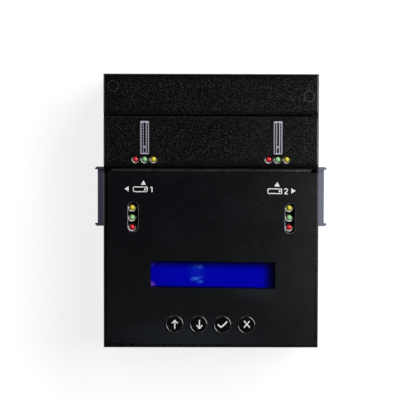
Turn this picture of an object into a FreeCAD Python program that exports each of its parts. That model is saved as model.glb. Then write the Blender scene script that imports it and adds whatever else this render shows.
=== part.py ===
"""Stand-alone drive eraser: folded-sheet case, hung boards, drive sockets, display and buttons.

Millimetres. +X is right, +Y is the back, +Z is up. The case is laid out about the centre of its
footprint, standing on z = 0, and moved at the end so that the origin is the bottom centre of the
whole object, the switch behind it included.
"""
import FreeCAD, Part
import math
import os

V = FreeCAD.Vector

# Case
CASE_WIDTH = 144.0
CASE_LENGTH = 183.4
CASE_HEIGHT = 37.5          # underside of the tray to the top of the covers
SHEET = 1.0
BEND_RADIUS = 1.5           # outside of each fold
COVER_GAP = 0.8             # between neighbouring covers
REAR_COVER_LENGTH = 27.4
SLOT_COVER_LENGTH = 33.85
LIP_DEPTH = 8.0             # short folded lips where two covers meet
SKIRT_LIFT = 0.5            # covers end this far above the underside of the tray
SKIRT_GAP = 0.15            # tray flange to cover skirt
TRAY_FLANGE = 7.0           # height of the tray's upturned edge
CORNER_RELIEF = 1.6         # small notch where two folds meet
CORNER_SLIT = 0.3           # open seam between a full end wall and a skirt
SEAM_TOP = 2.5              # the seam stops this far below the cover's top
BACK_NOTCH_X = 5.4          # large relief at the front cover's back corners
BACK_NOTCH_Y = 3.0
FOOT_RADIUS = 5.5
FOOT_HEIGHT = 2.5
FOOT_INSET = 12.0
FOOT_EDGE = 0.6

# Vents
VENT_WIDTH = 2.4
VENT_LENGTH = 14.0
VENT_PITCH = 5.2
TRAY_VENT_COUNT = 8
BACK_VENT_COUNT = 6

# Printed film on the front cover
FILM = 0.3
FILM_SIDE_MARGIN = 2.35
FILM_FRONT_MARGIN = 2.3
FILM_BACK_MARGIN = 2.5
FILM_SHIFT = -0.35          # the film sits a little to the left
FILM_SKEW = -0.6            # degrees about the middle of the button row
FILM_INSET = 0.3            # openings in the sheet are this much larger than in the film
FILM_BEVEL_OUT = 0.3        # bevelled rims of the button and lamp openings
FILM_BEVEL_DOWN = 0.17

# Boards and their fixings
BOARD = 1.6
BOARD_CLEARANCE = 0.85      # main board to tray flange
MAIN_STANDOFF = 5.0
MAIN_FRONT_MARGIN = 5.5
MAIN_BACK_MARGIN = 15.5
MAIN_FIXING_SIDE = 9.0      # from the case side
MAIN_FIXING_END = 7.5       # from the ends of the board and of the drive sockets
HUNG_DROP = 9.0             # cover underside to the top of a hung board
STANDOFF_RADIUS = 2.5
SCREW_RADIUS = 1.2
THREAD_GAP = 0.05
BOARD_HOLE_GAP = 0.35
SCREW_HEAD_RADIUS = 2.6
SCREW_HEAD_HEIGHT = 1.8
SCREW_CROWN_RADIUS = 1.6
SCREW_REACH = 4.0           # into the standoff
COVER_SCREW_RADIUS = 1.5
COVER_SCREW_LENGTH = 5.0
COVER_SCREW_HEIGHT = 3.6    # above the underside of the tray
FRONT_SCREW_SETBACK = 20.0
FRONT_SCREW_FROM_DRIVE = 18.3   # second screw in front of the drive opening

# Drive sockets on the sides
DRIVE_LENGTH = 40.9         # over the guide ears
DRIVE_HEIGHT = 6.6
DRIVE_REACH = 6.2           # mating face beyond the case side
DRIVE_SEAT = 9.0            # depth on the board, measured from the case side
DRIVE_SHARE = 0.8392        # socket centre along the front cover, from its front edge
EAR_THICKNESS = 1.9
EAR_REACH = 1.7             # ear tips beyond the mating face
EAR_CHAMFER = 1.1
NOSE_RELIEF = 0.9           # the mating nose is lower than the seat, above and below
DRIVE_SLOT_HEIGHT = 2.2
DRIVE_SLOT_DEPTH = 6.5
SIGNAL_SLOT = 10.0
POWER_SLOT = 21.0
DRIVE_SLOT_WALL = 2.4
KEY_WIDTH = 1.2
KEY_DROP = 1.0
DRIVE_PITCH = 1.27
SIGNAL_COUNT = 7
POWER_COUNT = 15
DRIVE_BLADE_WIDTH = 0.7
DRIVE_BLADE_THICKNESS = 0.3
DRIVE_BLADE_LENGTH = 5.5
DRIVE_OPENING_GAP = 0.6

# Card sockets on the slot board
CARD_LENGTH = 21.9
CARD_WIDTH = 5.8
CARD_PROUD = 0.4
CARD_X = 44.5
CARD_FROM_LED = 14.4        # lamp row to socket centre
CARD_SLOT_WIDTH = 1.3
CARD_SLOT_LENGTH = 20.3
CARD_SLOT_DEPTH = 5.0
CARD_KEY_OFFSET = 6.25      # key rib towards the front
CARD_KEY_WIDTH = 1.3
CARD_CORNER = 0.6
CARD_ROW_OFFSET = 1.74
CARD_ROW_WIDTH = 0.85
CARD_WINDOW_PITCH = 1.88    # contact windows behind the key
CARD_WINDOWS_BACK = 8
CARD_FRONT_PITCH = 1.65     # contact windows in front of the key
CARD_WINDOWS_FRONT = 2
CARD_WINDOW_LENGTH = 1.15
CARD_KEY_HOLE = 0.62        # round hole of each row at the key
CARD_ROW_DEPTH = 2.2
CARD_PITCH = 0.5
CARD_CONTACT_WIDTH = 0.2
CARD_CONTACT_SINK = 1.0
CARD_OPENING_GAP = 0.5

# Lamps
LED_RADIUS = 1.85
LED_LENGTH = 4.5
LED_COLLAR_RADIUS = 2.6
LED_COLLAR_DROP = 1.1       # collar rim below the cover's top
LED_DISH = 0.8
LED_SEAT = 3.4              # lamp base below the collar's rim
LED_GAP = 0.1
LED_OPENING_GAP = 0.1
SLOT_LED_PITCH = 6.05
SLOT_LED_SETBACK = 5.05     # from the slot cover's front edge
SIDE_LED_PITCH = 6.55
SIDE_LED_X = 52.55
SIDE_LED_SHIFT = -0.3
SIDE_LED_SHARE = 0.726      # row along the front cover, from its front edge
SIDE_SLOT_WIDTH = 6.8
SIDE_SLOT_LENGTH = 20.1
SIDE_BOARD_WIDTH = 12.0
SIDE_BOARD_LENGTH = 32.0
SIDE_FIXING = 13.0

# Slot board
SLOT_BOARD_SIDE = 5.5       # from the case side
SLOT_BOARD_END = 2.2        # from the ends of the slot cover
SLOT_FIXING_OUTER = 15.5    # from a socket's centre, sideways
SLOT_FIXING_STAGGER = 6.0

# Display
DISPLAY_SHARE = 0.407       # display centre along the front cover, from its front edge
DISPLAY_SHIFT = 1.0
FRAME_LENGTH = 97.0
FRAME_WIDTH = 27.0
FRAME_END = 6.625           # film's window inside the frame's ends
FRAME_BAR = 4.47            # film's window inside the frame's long edges
FRAME_HEIGHT = 8.6
FRAME_SHEET = 0.4
FRAME_EDGE = 0.8
FRAME_LAP = 1.2             # frame opening beyond the film's window, each side
GLASS = 2.2
GLASS_GAP = 0.3
GASKET_LAP = 2.0            # gasket opening beyond the film's window, each side
GASKET_THICKNESS = 0.8
GASKET_INSET = 0.8          # inside the frame's edge
DISPLAY_BOARD_END = 9.5     # board beyond the frame's ends
DISPLAY_BOARD_EDGE = 2.5    # board beyond the frame's long edges
DISPLAY_FIXING = 3.5        # fixing holes from the board's edges

# Buttons
BUTTON_SHARE = 0.1307       # row along the front cover, from its front edge
BUTTON_SHIFT = -0.25
BUTTON_PITCH = 16.05
CAP_RADIUS = 5.6
CAP_PROUD = 0.6             # above the film
CAP_BEVEL_OUT = 0.42
CAP_BEVEL_DOWN = 0.24
CAP_FLANGE = 0.9            # beyond the cap, under the cover
CAP_FLANGE_HEIGHT = 1.5
CAP_LIFT = 1.1              # flange top below the cover's underside
CAP_GAP = 0.15              # cap to film
SWITCH_SIDE = 12.0
SWITCH_HEIGHT = 4.0
SWITCH_WELL = 2.0
SWITCH_EDGE = 0.5
PLUNGER_RADIUS = 3.5
PLUNGER_GAP = 0.06
PLUNGER_LIFT = 0.7          # plunger above the floor of its well
BUTTON_BOARD_LENGTH = 78.0
BUTTON_BOARD_WIDTH = 20.0
BUTTON_FIXING = 3.6

# Rear cover: clinch standoffs, power board, jack
CLINCH_FLATS = 6.9
CLINCH_GAP = 0.1
CLINCH_LENGTH = 8.0
CLINCH_RADIUS = 3.0
CLINCH_INSET = 6.7          # from the case side
LEFT_CLINCH_SETBACK = 8.3   # from the back edge
RIGHT_CLINCH_SETBACK = 15.0
LEFT_CLINCH_TURN = 8.0
POWER_BOARD_SIDE = 2.5
POWER_BOARD_FRONT = 3.5     # from the rear cover's front edge
POWER_BOARD_BACK = 3.0
JACK_X = -40.0
JACK_WIDTH = 9.0
JACK_HEIGHT = 11.0
JACK_LENGTH = 14.0
JACK_AXIS_DROP = 6.3        # below the power board
JACK_NOSE_RADIUS = 4.0
JACK_HOLE_GAP = 0.2
JACK_BORE_RADIUS = 3.1
JACK_BORE_DEPTH = 9.5
JACK_PIN_RADIUS = 1.05
JACK_PIN_SINK = 0.6
JACK_CHAMFER = 0.8

# Rocker switch
ROCKER_X = 40.0
ROCKER_HEIGHT = 13.9        # pivot above the underside of the tray
BEZEL_LENGTH = 21.0
BEZEL_WIDTH = 15.0
BEZEL = 1.2
BEZEL_EDGE = 0.5
HOUSING_LENGTH = 19.0
HOUSING_WIDTH = 12.8
HOUSING_DEPTH = 12.0
HOUSING_GAP = 0.1
PIVOT_DEPTH = 3.8           # inside the case's back face
ROCKER_RADIUS = 8.1
ROCKER_WIDTH = 10.0
ROCKER_GAP = 0.25
ROCKER_CROWN = 4.2          # ends above the pivot
ROCKER_VALLEY = 2.6
ROCKER_ROOT = 2.4
ROCKER_TILT = 10.0          # degrees either way
ROCKER_WELL = 4.3           # floor of the housing's well below the pivot
BOSS_RADIUS = 1.0
BOSS_LENGTH = 0.8
BOSS_GAP = 0.05
TERMINAL_WIDTH = 4.8
TERMINAL = 0.8
TERMINAL_LENGTH = 7.0
TERMINAL_SPACING = 7.0
LEAD_RADIUS = 0.8
LEAD_BEND = 4.0

# Parts on the boards
CONTROLLER_SIDE = 24.0
CONTROLLER_HEIGHT = 2.0
SINK_SIDE = 28.0
SINK_BASE = 2.0
SINK_HEIGHT = 8.0
FIN = 1.2
FIN_COUNT = 7
BRIDGE_SIDE = 12.0
BRIDGE_HEIGHT = 1.2
BRIDGE_X = 36.0
BUZZER_RADIUS = 6.0
BUZZER_HEIGHT = 7.0
BUZZER_SOUND_HOLE = 1.2
BUZZER_X = -40.0
CAPACITOR_RADIUS = 4.0
CAPACITOR_HEIGHT = 10.0
CAPACITOR_PITCH = 10.0
CAPACITOR_COUNT = 2
CAPACITOR_X = 4.0
INDUCTOR_SIDE = 12.0
INDUCTOR_HEIGHT = 6.0
INDUCTOR_X = -56.0
INDUCTOR_EDGE = 1.0

# Flat cables
CABLE = 0.3
CABLE_STRAIGHT = 1.0
CABLE_INSERT = 2.5
CABLE_GAP = 0.05
CABLE_SOCKET_HEIGHT = 2.0
CABLE_SOCKET_DEPTH = 5.0
CABLE_SOCKET_SIDE = 2.0
DISPLAY_CABLE = 16.0
BUTTON_CABLE = 12.0
SLOT_CABLE = 12.0
SIDE_CABLE = 6.0
POWER_CABLE = 10.0
POWER_CABLE_X = -14.0

# Levels
tray_z = FOOT_HEIGHT
floor_z = tray_z + SHEET
skirt_z = tray_z + SKIRT_LIFT
top_z = tray_z + CASE_HEIGHT
under_z = top_z - SHEET
film_z = top_z + FILM
main_z = floor_z + MAIN_STANDOFF
main_top = main_z + BOARD
hung_top = under_z - HUNG_DROP
hung_z = hung_top - BOARD

# Outline of the case and of its covers
side_x = CASE_WIDTH / 2
back_y = CASE_LENGTH / 2
front_y = -CASE_LENGTH / 2
rear_front_y = back_y - REAR_COVER_LENGTH
slot_back_y = rear_front_y - COVER_GAP
slot_front_y = slot_back_y - SLOT_COVER_LENGTH
panel_back_y = slot_front_y - COVER_GAP
tray_x = side_x - SHEET - SKIRT_GAP
tray_y = back_y - SHEET - SKIRT_GAP

# Places of what shows on the covers
slot_led_y = slot_front_y + SLOT_LED_SETBACK
card_y = slot_led_y + CARD_FROM_LED
front_cover_length = panel_back_y - front_y
side_led_y = front_y + SIDE_LED_SHARE * front_cover_length
drive_y = front_y + DRIVE_SHARE * front_cover_length
display_y = front_y + DISPLAY_SHARE * front_cover_length
button_y = front_y + BUTTON_SHARE * front_cover_length
button_xs = [BUTTON_SHIFT + (i - 1.5) * BUTTON_PITCH for i in range(4)]
button_turn = math.radians(FILM_SKEW)
button_places = [(BUTTON_SHIFT + (x - BUTTON_SHIFT) * math.cos(button_turn),
                  button_y + (x - BUTTON_SHIFT) * math.sin(button_turn)) for x in button_xs]
card_xs = [-CARD_X, CARD_X]
side_led_xs = [SIDE_LED_SHIFT - SIDE_LED_X, SIDE_LED_SHIFT + SIDE_LED_X]

# Display: window, board, and the stack from the gasket down
window_length = FRAME_LENGTH - 2 * FRAME_END
window_width = FRAME_WIDTH - 2 * FRAME_BAR
display_length = FRAME_LENGTH + 2 * DISPLAY_BOARD_END
display_width = FRAME_WIDTH + 2 * DISPLAY_BOARD_EDGE
frame_top = under_z - GASKET_THICKNESS
glass_top = frame_top - FRAME_SHEET
glass_z = glass_top - GLASS
display_top = frame_top - FRAME_HEIGHT
display_z = display_top - BOARD

# Rear cover's power board
power_top = under_z - CLINCH_LENGTH
power_z = power_top - BOARD
rocker_z = tray_z + ROCKER_HEIGHT
rocker_y = back_y - PIVOT_DEPTH


def block(x0, x1, y0, y1, z0, z1):
    return Part.makeBox(x1 - x0, y1 - y0, z1 - z0, V(x0, y0, z0))


def centred(x, y, length_x, length_y, z0, z1):
    return block(x - length_x / 2, x + length_x / 2, y - length_y / 2, y + length_y / 2, z0, z1)


def rod(x, y, z0, z1, radius):
    return Part.makeCylinder(radius, z1 - z0, V(x, y, z0))


def rod_x(y, z, x0, x1, radius):
    return Part.makeCylinder(radius, x1 - x0, V(x0, y, z), V(1, 0, 0))


def rod_y(x, z, y0, y1, radius):
    return Part.makeCylinder(radius, y1 - y0, V(x, y0, z), V(0, 1, 0))


def prism(points, height):
    """Closed polygon of points, pushed along the height vector."""
    return Part.Face(Part.makePolygon(points + points[:1])).extrude(height)


def hexagon(x, y, z0, z1, flats, turn):
    corner = flats / math.sqrt(3)
    angles = [math.radians(90 + turn + 60 * i) for i in range(6)]
    points = [V(x + corner * math.cos(a), y + corner * math.sin(a), z0) for a in angles]
    return prism(points, V(0, 0, z1 - z0))


def stadium(x, y, width, length, z0, z1):
    """Round-ended slot along Y."""
    radius = width / 2
    run = length / 2 - radius
    body = centred(x, y, width, 2 * run, z0, z1)
    return body.fuse([rod(x, y - run, z0, z1, radius), rod(x, y + run, z0, z1, radius)]).removeSplitter()


def turned(points, x, y):
    """Profile of (radius, z) points turned about a vertical axis at x, y."""
    outline = [V(r, 0, z) for r, z in points]
    solid = Part.Face(Part.makePolygon(outline + outline[:1])).revolve(V(), V(0, 0, 1), 360)
    return solid.translated(V(x, y, 0))


def level_edges(shape, z):
    """Edges that lie in the level plane at z."""
    return [e for e in shape.Edges if max(abs(e.BoundBox.ZMin - z), abs(e.BoundBox.ZMax - z)) < 1e-6]


def upright_edges(shape):
    return [e for e in shape.Edges if e.BoundBox.ZLength > max(e.BoundBox.XLength, e.BoundBox.YLength)]


def rounded(x, y, length_x, length_y, z0, z1, radius):
    body = centred(x, y, length_x, length_y, z0, z1)
    return body.makeFillet(radius, upright_edges(body))


def group(solids):
    return solids[0] if len(solids) == 1 else Part.makeCompound(solids)


# Folded sheet

def folded(y0, y1):
    """Sheet folded down on four sides, from the cover's top to the bottom of the skirts."""
    outer = block(-side_x, side_x, y0, y1, skirt_z, top_z)
    outer = outer.makeFillet(BEND_RADIUS, level_edges(outer, top_z))
    inner = block(-side_x + SHEET, side_x - SHEET, y0 + SHEET, y1 - SHEET, skirt_z - SHEET, under_z)
    inner = inner.makeFillet(BEND_RADIUS - SHEET, level_edges(inner, under_z))
    return outer.cut(inner)


def below_lip(edge_y, inward):
    """What is cut away under a short lip whose outside is at edge_y."""
    far = edge_y + inward * SHEET
    inside_x = side_x - SHEET
    return block(-inside_x, inside_x, min(edge_y, far), max(edge_y, far), skirt_z, top_z - LIP_DEPTH)


def lip_reliefs(edge_y, inward, size_x, size_y):
    """Notches at both ends of a short lip, through the lip and the corner of the skirts."""
    near = edge_y - inward * SHEET
    far = edge_y + inward * size_y
    low, high = min(near, far), max(near, far)
    inside_x = side_x - SHEET
    cuts = []
    for hand in (-1, 1):
        lip = sorted([hand * (side_x - size_x), hand * inside_x])
        corner = sorted([hand * (inside_x - CORNER_SLIT), hand * (side_x + SHEET)])
        cuts.append(block(lip[0], lip[1], low, high, top_z - LIP_DEPTH - SHEET, top_z + SHEET))
        cuts.append(block(corner[0], corner[1], low, high, top_z - SEAM_TOP, top_z + SHEET))
    return cuts


def end_seams(edge_y, inward):
    """Open seams where the skirts butt against a full end wall."""
    near = edge_y + inward * SHEET
    far = near + inward * CORNER_SLIT
    low, high = min(near, far), max(near, far)
    cuts = []
    for hand in (-1, 1):
        wall = sorted([hand * (side_x - SHEET), hand * (side_x + SHEET)])
        cuts.append(block(wall[0], wall[1], low, high, skirt_z - SHEET, top_z - SEAM_TOP))
    return cuts


def drive_openings():
    """Cut-outs for the drive sockets, open downwards so that the covers lift off."""
    half = DRIVE_LENGTH / 2 + DRIVE_OPENING_GAP
    ceiling = main_top + DRIVE_HEIGHT + DRIVE_OPENING_GAP
    cuts = []
    for hand in (-1, 1):
        wall = sorted([hand * (side_x - 2 * SHEET), hand * (side_x + SHEET)])
        cuts.append(block(wall[0], wall[1], drive_y - half, drive_y + half, tray_z - SHEET, ceiling))
    return cuts


drive_front_y = drive_y - DRIVE_LENGTH / 2 - DRIVE_OPENING_GAP
front_screw_ys = [front_y + FRONT_SCREW_SETBACK, drive_front_y - FRONT_SCREW_FROM_DRIVE]
slot_screw_y = (slot_front_y + slot_back_y) / 2
rear_screw_y = (rear_front_y + back_y) / 2
cover_screw_ys = front_screw_ys + [slot_screw_y, rear_screw_y]
cover_screw_z = tray_z + COVER_SCREW_HEIGHT


def cover_screw_holes(ys, radius):
    reach = side_x + SHEET
    return [rod_x(y, cover_screw_z, -reach, reach, radius) for y in ys]


def vent_row(x, y, count, z0, z1):
    first = x - (count - 1) / 2 * VENT_PITCH
    return [stadium(first + i * VENT_PITCH, y, VENT_WIDTH, VENT_LENGTH, z0, z1) for i in range(count)]


def back_vents():
    """Upright slots in the back wall, between the jack and the switch."""
    middle = (skirt_z + top_z) / 2
    row = vent_row((JACK_X + ROCKER_X) / 2, 0.0, BACK_VENT_COUNT, 0.0, 3 * SHEET)
    for slot in row:
        slot.rotate(V(), V(1, 0, 0), 90)
        slot.translate(V(0, back_y + SHEET, middle))
    return row


def base_tray():
    outer = block(-tray_x, tray_x, -tray_y, tray_y, tray_z, tray_z + TRAY_FLANGE)
    outer = outer.makeFillet(BEND_RADIUS, level_edges(outer, tray_z))
    inside_x, inside_y = tray_x - SHEET, tray_y - SHEET
    inner = block(-inside_x, inside_x, -inside_y, inside_y, floor_z, tray_z + TRAY_FLANGE + SHEET)
    inner = inner.makeFillet(BEND_RADIUS - SHEET, level_edges(inner, floor_z))
    cuts = []
    for sx in (-1, 1):
        for sy in (-1, 1):
            x = sx * (tray_x - CORNER_RELIEF / 2)
            y = sy * (tray_y - CORNER_RELIEF / 2)
            top = tray_z + TRAY_FLANGE + SHEET
            cuts.append(centred(x, y, CORNER_RELIEF, CORNER_RELIEF, tray_z - SHEET, top))
    cuts += cover_screw_holes(cover_screw_ys, COVER_SCREW_RADIUS + THREAD_GAP)
    for row_y in (display_y, side_led_y):
        cuts += vent_row(0.0, row_y, TRAY_VENT_COUNT, tray_z - SHEET, floor_z + SHEET)
    return outer.cut(inner).cut(cuts)


def film_openings(inset, z0, z1):
    """Openings for the window, the buttons and the side lamps, larger all round by inset."""
    window_x = window_length + 2 * inset
    window_y = window_width + 2 * inset
    cuts = [centred(DISPLAY_SHIFT, display_y, window_x, window_y, z0, z1)]
    cuts += [rod(x, button_y, z0, z1, CAP_RADIUS + CAP_GAP + inset) for x in button_xs]
    width = SIDE_SLOT_WIDTH + 2 * inset
    length = SIDE_SLOT_LENGTH + 2 * inset
    cuts += [stadium(x, side_led_y, width, length, z0, z1) for x in side_led_xs]
    return cuts


def front_cover():
    sheet = folded(front_y, panel_back_y)
    cuts = [below_lip(panel_back_y, -1)]
    cuts += lip_reliefs(panel_back_y, -1, BACK_NOTCH_X, BACK_NOTCH_Y)
    cuts += end_seams(front_y, 1)
    cuts += drive_openings()
    cuts += film_openings(FILM_INSET, under_z - SHEET, top_z + SHEET)
    cuts += cover_screw_holes(front_screw_ys, COVER_SCREW_RADIUS + BOARD_HOLE_GAP)
    return sheet.cut(cuts)


def card_opening(x):
    length_x = CARD_WIDTH + 2 * CARD_OPENING_GAP
    length_y = CARD_LENGTH + 2 * CARD_OPENING_GAP
    return centred(x, card_y, length_x, length_y, under_z - SHEET, top_z + SHEET)


def slot_led_places():
    return [(x + step * SLOT_LED_PITCH, slot_led_y) for x in card_xs for step in (-1, 0, 1)]


def side_led_places():
    return [(x, side_led_y + step * SIDE_LED_PITCH) for x in side_led_xs for step in (-1, 0, 1)]


def slot_cover():
    sheet = folded(slot_front_y, slot_back_y)
    cuts = [below_lip(slot_front_y, 1), below_lip(slot_back_y, -1)]
    cuts += lip_reliefs(slot_front_y, 1, CORNER_RELIEF, CORNER_RELIEF)
    cuts += lip_reliefs(slot_back_y, -1, CORNER_RELIEF, CORNER_RELIEF)
    cuts += drive_openings()
    cuts += [card_opening(x) for x in card_xs]
    hole = LED_COLLAR_RADIUS + LED_OPENING_GAP
    cuts += [rod(x, y, under_z - SHEET, top_z + SHEET, hole) for x, y in slot_led_places()]
    cuts += cover_screw_holes([slot_screw_y], COVER_SCREW_RADIUS + BOARD_HOLE_GAP)
    return sheet.cut(cuts)


clinch_places = [
    (-side_x + CLINCH_INSET, back_y - LEFT_CLINCH_SETBACK, LEFT_CLINCH_TURN),
    (side_x - CLINCH_INSET, back_y - RIGHT_CLINCH_SETBACK, 0.0),
]


def rear_cover():
    sheet = folded(rear_front_y, back_y)
    cuts = [below_lip(rear_front_y, 1)]
    cuts += lip_reliefs(rear_front_y, 1, CORNER_RELIEF, CORNER_RELIEF)
    cuts += end_seams(back_y, -1)
    flats = CLINCH_FLATS + 2 * CLINCH_GAP
    for x, y, turn in clinch_places:
        cuts.append(hexagon(x, y, under_z - SHEET, top_z + SHEET, flats, turn))
    jack_hole = JACK_NOSE_RADIUS + JACK_HOLE_GAP
    cuts.append(rod_y(JACK_X, jack_axis_z, back_y - 2 * SHEET, back_y + SHEET, jack_hole))
    half_x = HOUSING_LENGTH / 2 + HOUSING_GAP
    half_z = HOUSING_WIDTH / 2 + HOUSING_GAP
    cuts.append(block(ROCKER_X - half_x, ROCKER_X + half_x, back_y - 2 * SHEET, back_y + SHEET,
                      rocker_z - half_z, rocker_z + half_z))
    cuts += back_vents()
    cuts += cover_screw_holes([rear_screw_y], COVER_SCREW_RADIUS + BOARD_HOLE_GAP)
    return sheet.cut(cuts)


def film_bevels():
    """Cutters that bevel the rims of the button and lamp openings, wider towards the top."""
    rim_z = film_z - FILM_BEVEL_DOWN
    hole = CAP_RADIUS + CAP_GAP
    cuts = [Part.makeCone(hole, hole + FILM_BEVEL_OUT, FILM_BEVEL_DOWN, V(x, button_y, rim_z))
            for x in button_xs]
    radius = SIDE_SLOT_WIDTH / 2
    run = SIDE_SLOT_LENGTH / 2 - radius
    for x in side_led_xs:
        section = [V(x - radius, 0, rim_z), V(x + radius, 0, rim_z),
                   V(x + radius + FILM_BEVEL_OUT, 0, film_z), V(x - radius - FILM_BEVEL_OUT, 0, film_z)]
        bar = prism(section, V(0, 2 * run, 0)).translated(V(0, side_led_y - run, 0))
        middles = [V(x, side_led_y + way * run, rim_z) for way in (-1, 1)]
        ends = [Part.makeCone(radius, radius + FILM_BEVEL_OUT, FILM_BEVEL_DOWN, middle) for middle in middles]
        cuts.append(bar.fuse(ends))
    return cuts


def panel_overlay():
    left = -side_x + FILM_SIDE_MARGIN + FILM_SHIFT
    right = side_x - FILM_SIDE_MARGIN + FILM_SHIFT
    film = block(left, right, front_y + FILM_FRONT_MARGIN, panel_back_y - FILM_BACK_MARGIN, top_z, film_z)
    film = film.cut(film_openings(0.0, top_z - FILM, film_z + FILM)).cut(film_bevels())
    film.rotate(V(BUTTON_SHIFT, button_y, 0), V(0, 0, 1), FILM_SKEW)
    return film


def rubber_feet():
    feet = []
    for sx in (-1, 1):
        for sy in (-1, 1):
            x = sx * (side_x - FOOT_INSET)
            y = sy * (back_y - FOOT_INSET)
            foot = rod(x, y, 0, FOOT_HEIGHT, FOOT_RADIUS)
            feet.append(foot.makeFillet(FOOT_EDGE, level_edges(foot, 0)))
    return group(feet)


def cover_screws():
    """Round-headed screws through the skirts into the tray's flange."""
    screws = []
    for y in cover_screw_ys:
        for hand in (-1, 1):
            head = [(0, side_x), (SCREW_HEAD_RADIUS, side_x),
                    (SCREW_HEAD_RADIUS, side_x + SCREW_HEAD_HEIGHT / 2),
                    (SCREW_CROWN_RADIUS, side_x + SCREW_HEAD_HEIGHT), (0, side_x + SCREW_HEAD_HEIGHT)]
            shank = rod(0, 0, side_x - COVER_SCREW_LENGTH, side_x, COVER_SCREW_RADIUS)
            screw = turned(head, 0, 0).fuse(shank)
            screw.rotate(V(), V(0, 1, 0), 90 * hand)
            screws.append(screw.translated(V(0, y, cover_screw_z)))
    return group(screws)


def clinch_standoffs():
    solids = []
    for x, y, turn in clinch_places:
        head = hexagon(x, y, under_z, top_z, CLINCH_FLATS, turn)
        barrel = rod(x, y, power_top, under_z, CLINCH_RADIUS)
        thread = rod(x, y, power_top, power_top + SCREW_REACH + THREAD_GAP, SCREW_RADIUS + THREAD_GAP)
        solids.append(head.fuse(barrel).cut(thread))
    return group(solids)


# Boards, standoffs and screws

main_x = tray_x - SHEET - BOARD_CLEARANCE
main_front_y = front_y + MAIN_FRONT_MARGIN
main_back_y = back_y - MAIN_BACK_MARGIN
main_fixing_ys = [main_front_y + MAIN_FIXING_END, drive_y - DRIVE_LENGTH / 2 - MAIN_FIXING_END,
                  main_back_y - MAIN_FIXING_END]
main_fixings = [(sx * (side_x - MAIN_FIXING_SIDE), y) for sx in (-1, 1) for y in main_fixing_ys]
slot_fixings = [(hand * CARD_X + side * SLOT_FIXING_OUTER, card_y + side * hand * SLOT_FIXING_STAGGER)
                for hand in (-1, 1) for side in (-1, 1)]
side_fixings = [(x, side_led_y + step * SIDE_FIXING) for x in side_led_xs for step in (-1, 1)]
button_fixings = [(BUTTON_SHIFT + sx * (BUTTON_BOARD_LENGTH / 2 - BUTTON_FIXING),
                   button_y + sy * (BUTTON_BOARD_WIDTH / 2 - BUTTON_FIXING))
                  for sx in (-1, 1) for sy in (-1, 1)]
display_fixings = [(DISPLAY_SHIFT + sx * (display_length / 2 - DISPLAY_FIXING),
                    display_y + sy * (display_width / 2 - DISPLAY_FIXING))
                   for sx in (-1, 1) for sy in (-1, 1)]
power_fixings = [(x, y) for x, y, turn in clinch_places]


def drilled(board, fixings):
    box = board.BoundBox
    radius = SCREW_RADIUS + BOARD_HOLE_GAP
    return board.cut([rod(x, y, box.ZMin - BOARD, box.ZMax + BOARD, radius) for x, y in fixings])


def standoffs(fixings, z0, z1, screw_from):
    """Round standoffs with a thread that starts at screw_from, z0 or z1."""
    reach = SCREW_REACH + THREAD_GAP
    low = z0 if screw_from == z0 else z1 - reach
    solids = []
    for x, y in fixings:
        thread = rod(x, y, low, low + reach, SCREW_RADIUS + THREAD_GAP)
        solids.append(rod(x, y, z0, z1, STANDOFF_RADIUS).cut(thread))
    return solids


def board_screw(x, y, seat, way):
    """Screw whose head rests on the board at seat. It goes up with way 1 and down with way -1."""
    head_end = seat - way * SCREW_HEAD_HEIGHT
    tip = seat + way * (BOARD + SCREW_REACH)
    head = rod(x, y, min(seat, head_end), max(seat, head_end), SCREW_HEAD_RADIUS)
    shank = rod(x, y, min(seat, tip), max(seat, tip), SCREW_RADIUS)
    return head.fuse(shank)


def board_screws():
    screws = [board_screw(x, y, main_top, -1) for x, y in main_fixings]
    screws += [board_screw(x, y, hung_z, 1) for x, y in slot_fixings + side_fixings + button_fixings]
    screws += [board_screw(x, y, display_z, 1) for x, y in display_fixings]
    screws += [board_screw(x, y, power_z, 1) for x, y in power_fixings]
    return group(screws)


def main_board():
    return drilled(block(-main_x, main_x, main_front_y, main_back_y, main_z, main_top), main_fixings)


def slot_board():
    half = side_x - SLOT_BOARD_SIDE
    board = block(-half, half, slot_front_y + SLOT_BOARD_END, slot_back_y - SLOT_BOARD_END,
                  hung_z, hung_top)
    return drilled(board, slot_fixings)


def side_led_boards():
    boards = []
    for x in side_led_xs:
        board = centred(x, side_led_y, SIDE_BOARD_WIDTH, SIDE_BOARD_LENGTH, hung_z, hung_top)
        boards.append(drilled(board, side_fixings))
    return group(boards)


def hung_standoffs():
    return group(standoffs(slot_fixings + side_fixings + button_fixings, hung_top, under_z, hung_top))


# Drive sockets

def drive_socket():
    """Right-hand drive socket, facing +X, with its slots and guide ears."""
    face = side_x + DRIVE_REACH
    root = side_x - DRIVE_SEAT
    ear_tip = face + EAR_REACH
    half = DRIVE_LENGTH / 2
    low, high = main_top, main_top + DRIVE_HEIGHT
    seat = block(root, side_x, drive_y - half, drive_y + half, low, high)
    nose_half = half - EAR_THICKNESS
    nose = block(side_x, face, drive_y - nose_half, drive_y + nose_half,
                 low + NOSE_RELIEF, high - NOSE_RELIEF)
    solid = seat.fuse(nose)
    for sy in (-1, 1):
        outside = drive_y + sy * half
        inside = outside - sy * EAR_THICKNESS
        tip = outside - sy * EAR_CHAMFER
        outline = [V(side_x, inside, low), V(side_x, outside, low), V(ear_tip - EAR_CHAMFER, outside, low),
                   V(ear_tip, tip, low), V(ear_tip, inside, low)]
        solid = solid.fuse(prism(outline, V(0, 0, DRIVE_HEIGHT)))
    return solid.removeSplitter().cut(drive_slots())


drive_slot_z = main_top + (DRIVE_HEIGHT - DRIVE_SLOT_HEIGHT) / 2
drive_slot_span = SIGNAL_SLOT + DRIVE_SLOT_WALL + POWER_SLOT
signal_y = drive_y - drive_slot_span / 2
power_y = signal_y + SIGNAL_SLOT + DRIVE_SLOT_WALL


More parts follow.
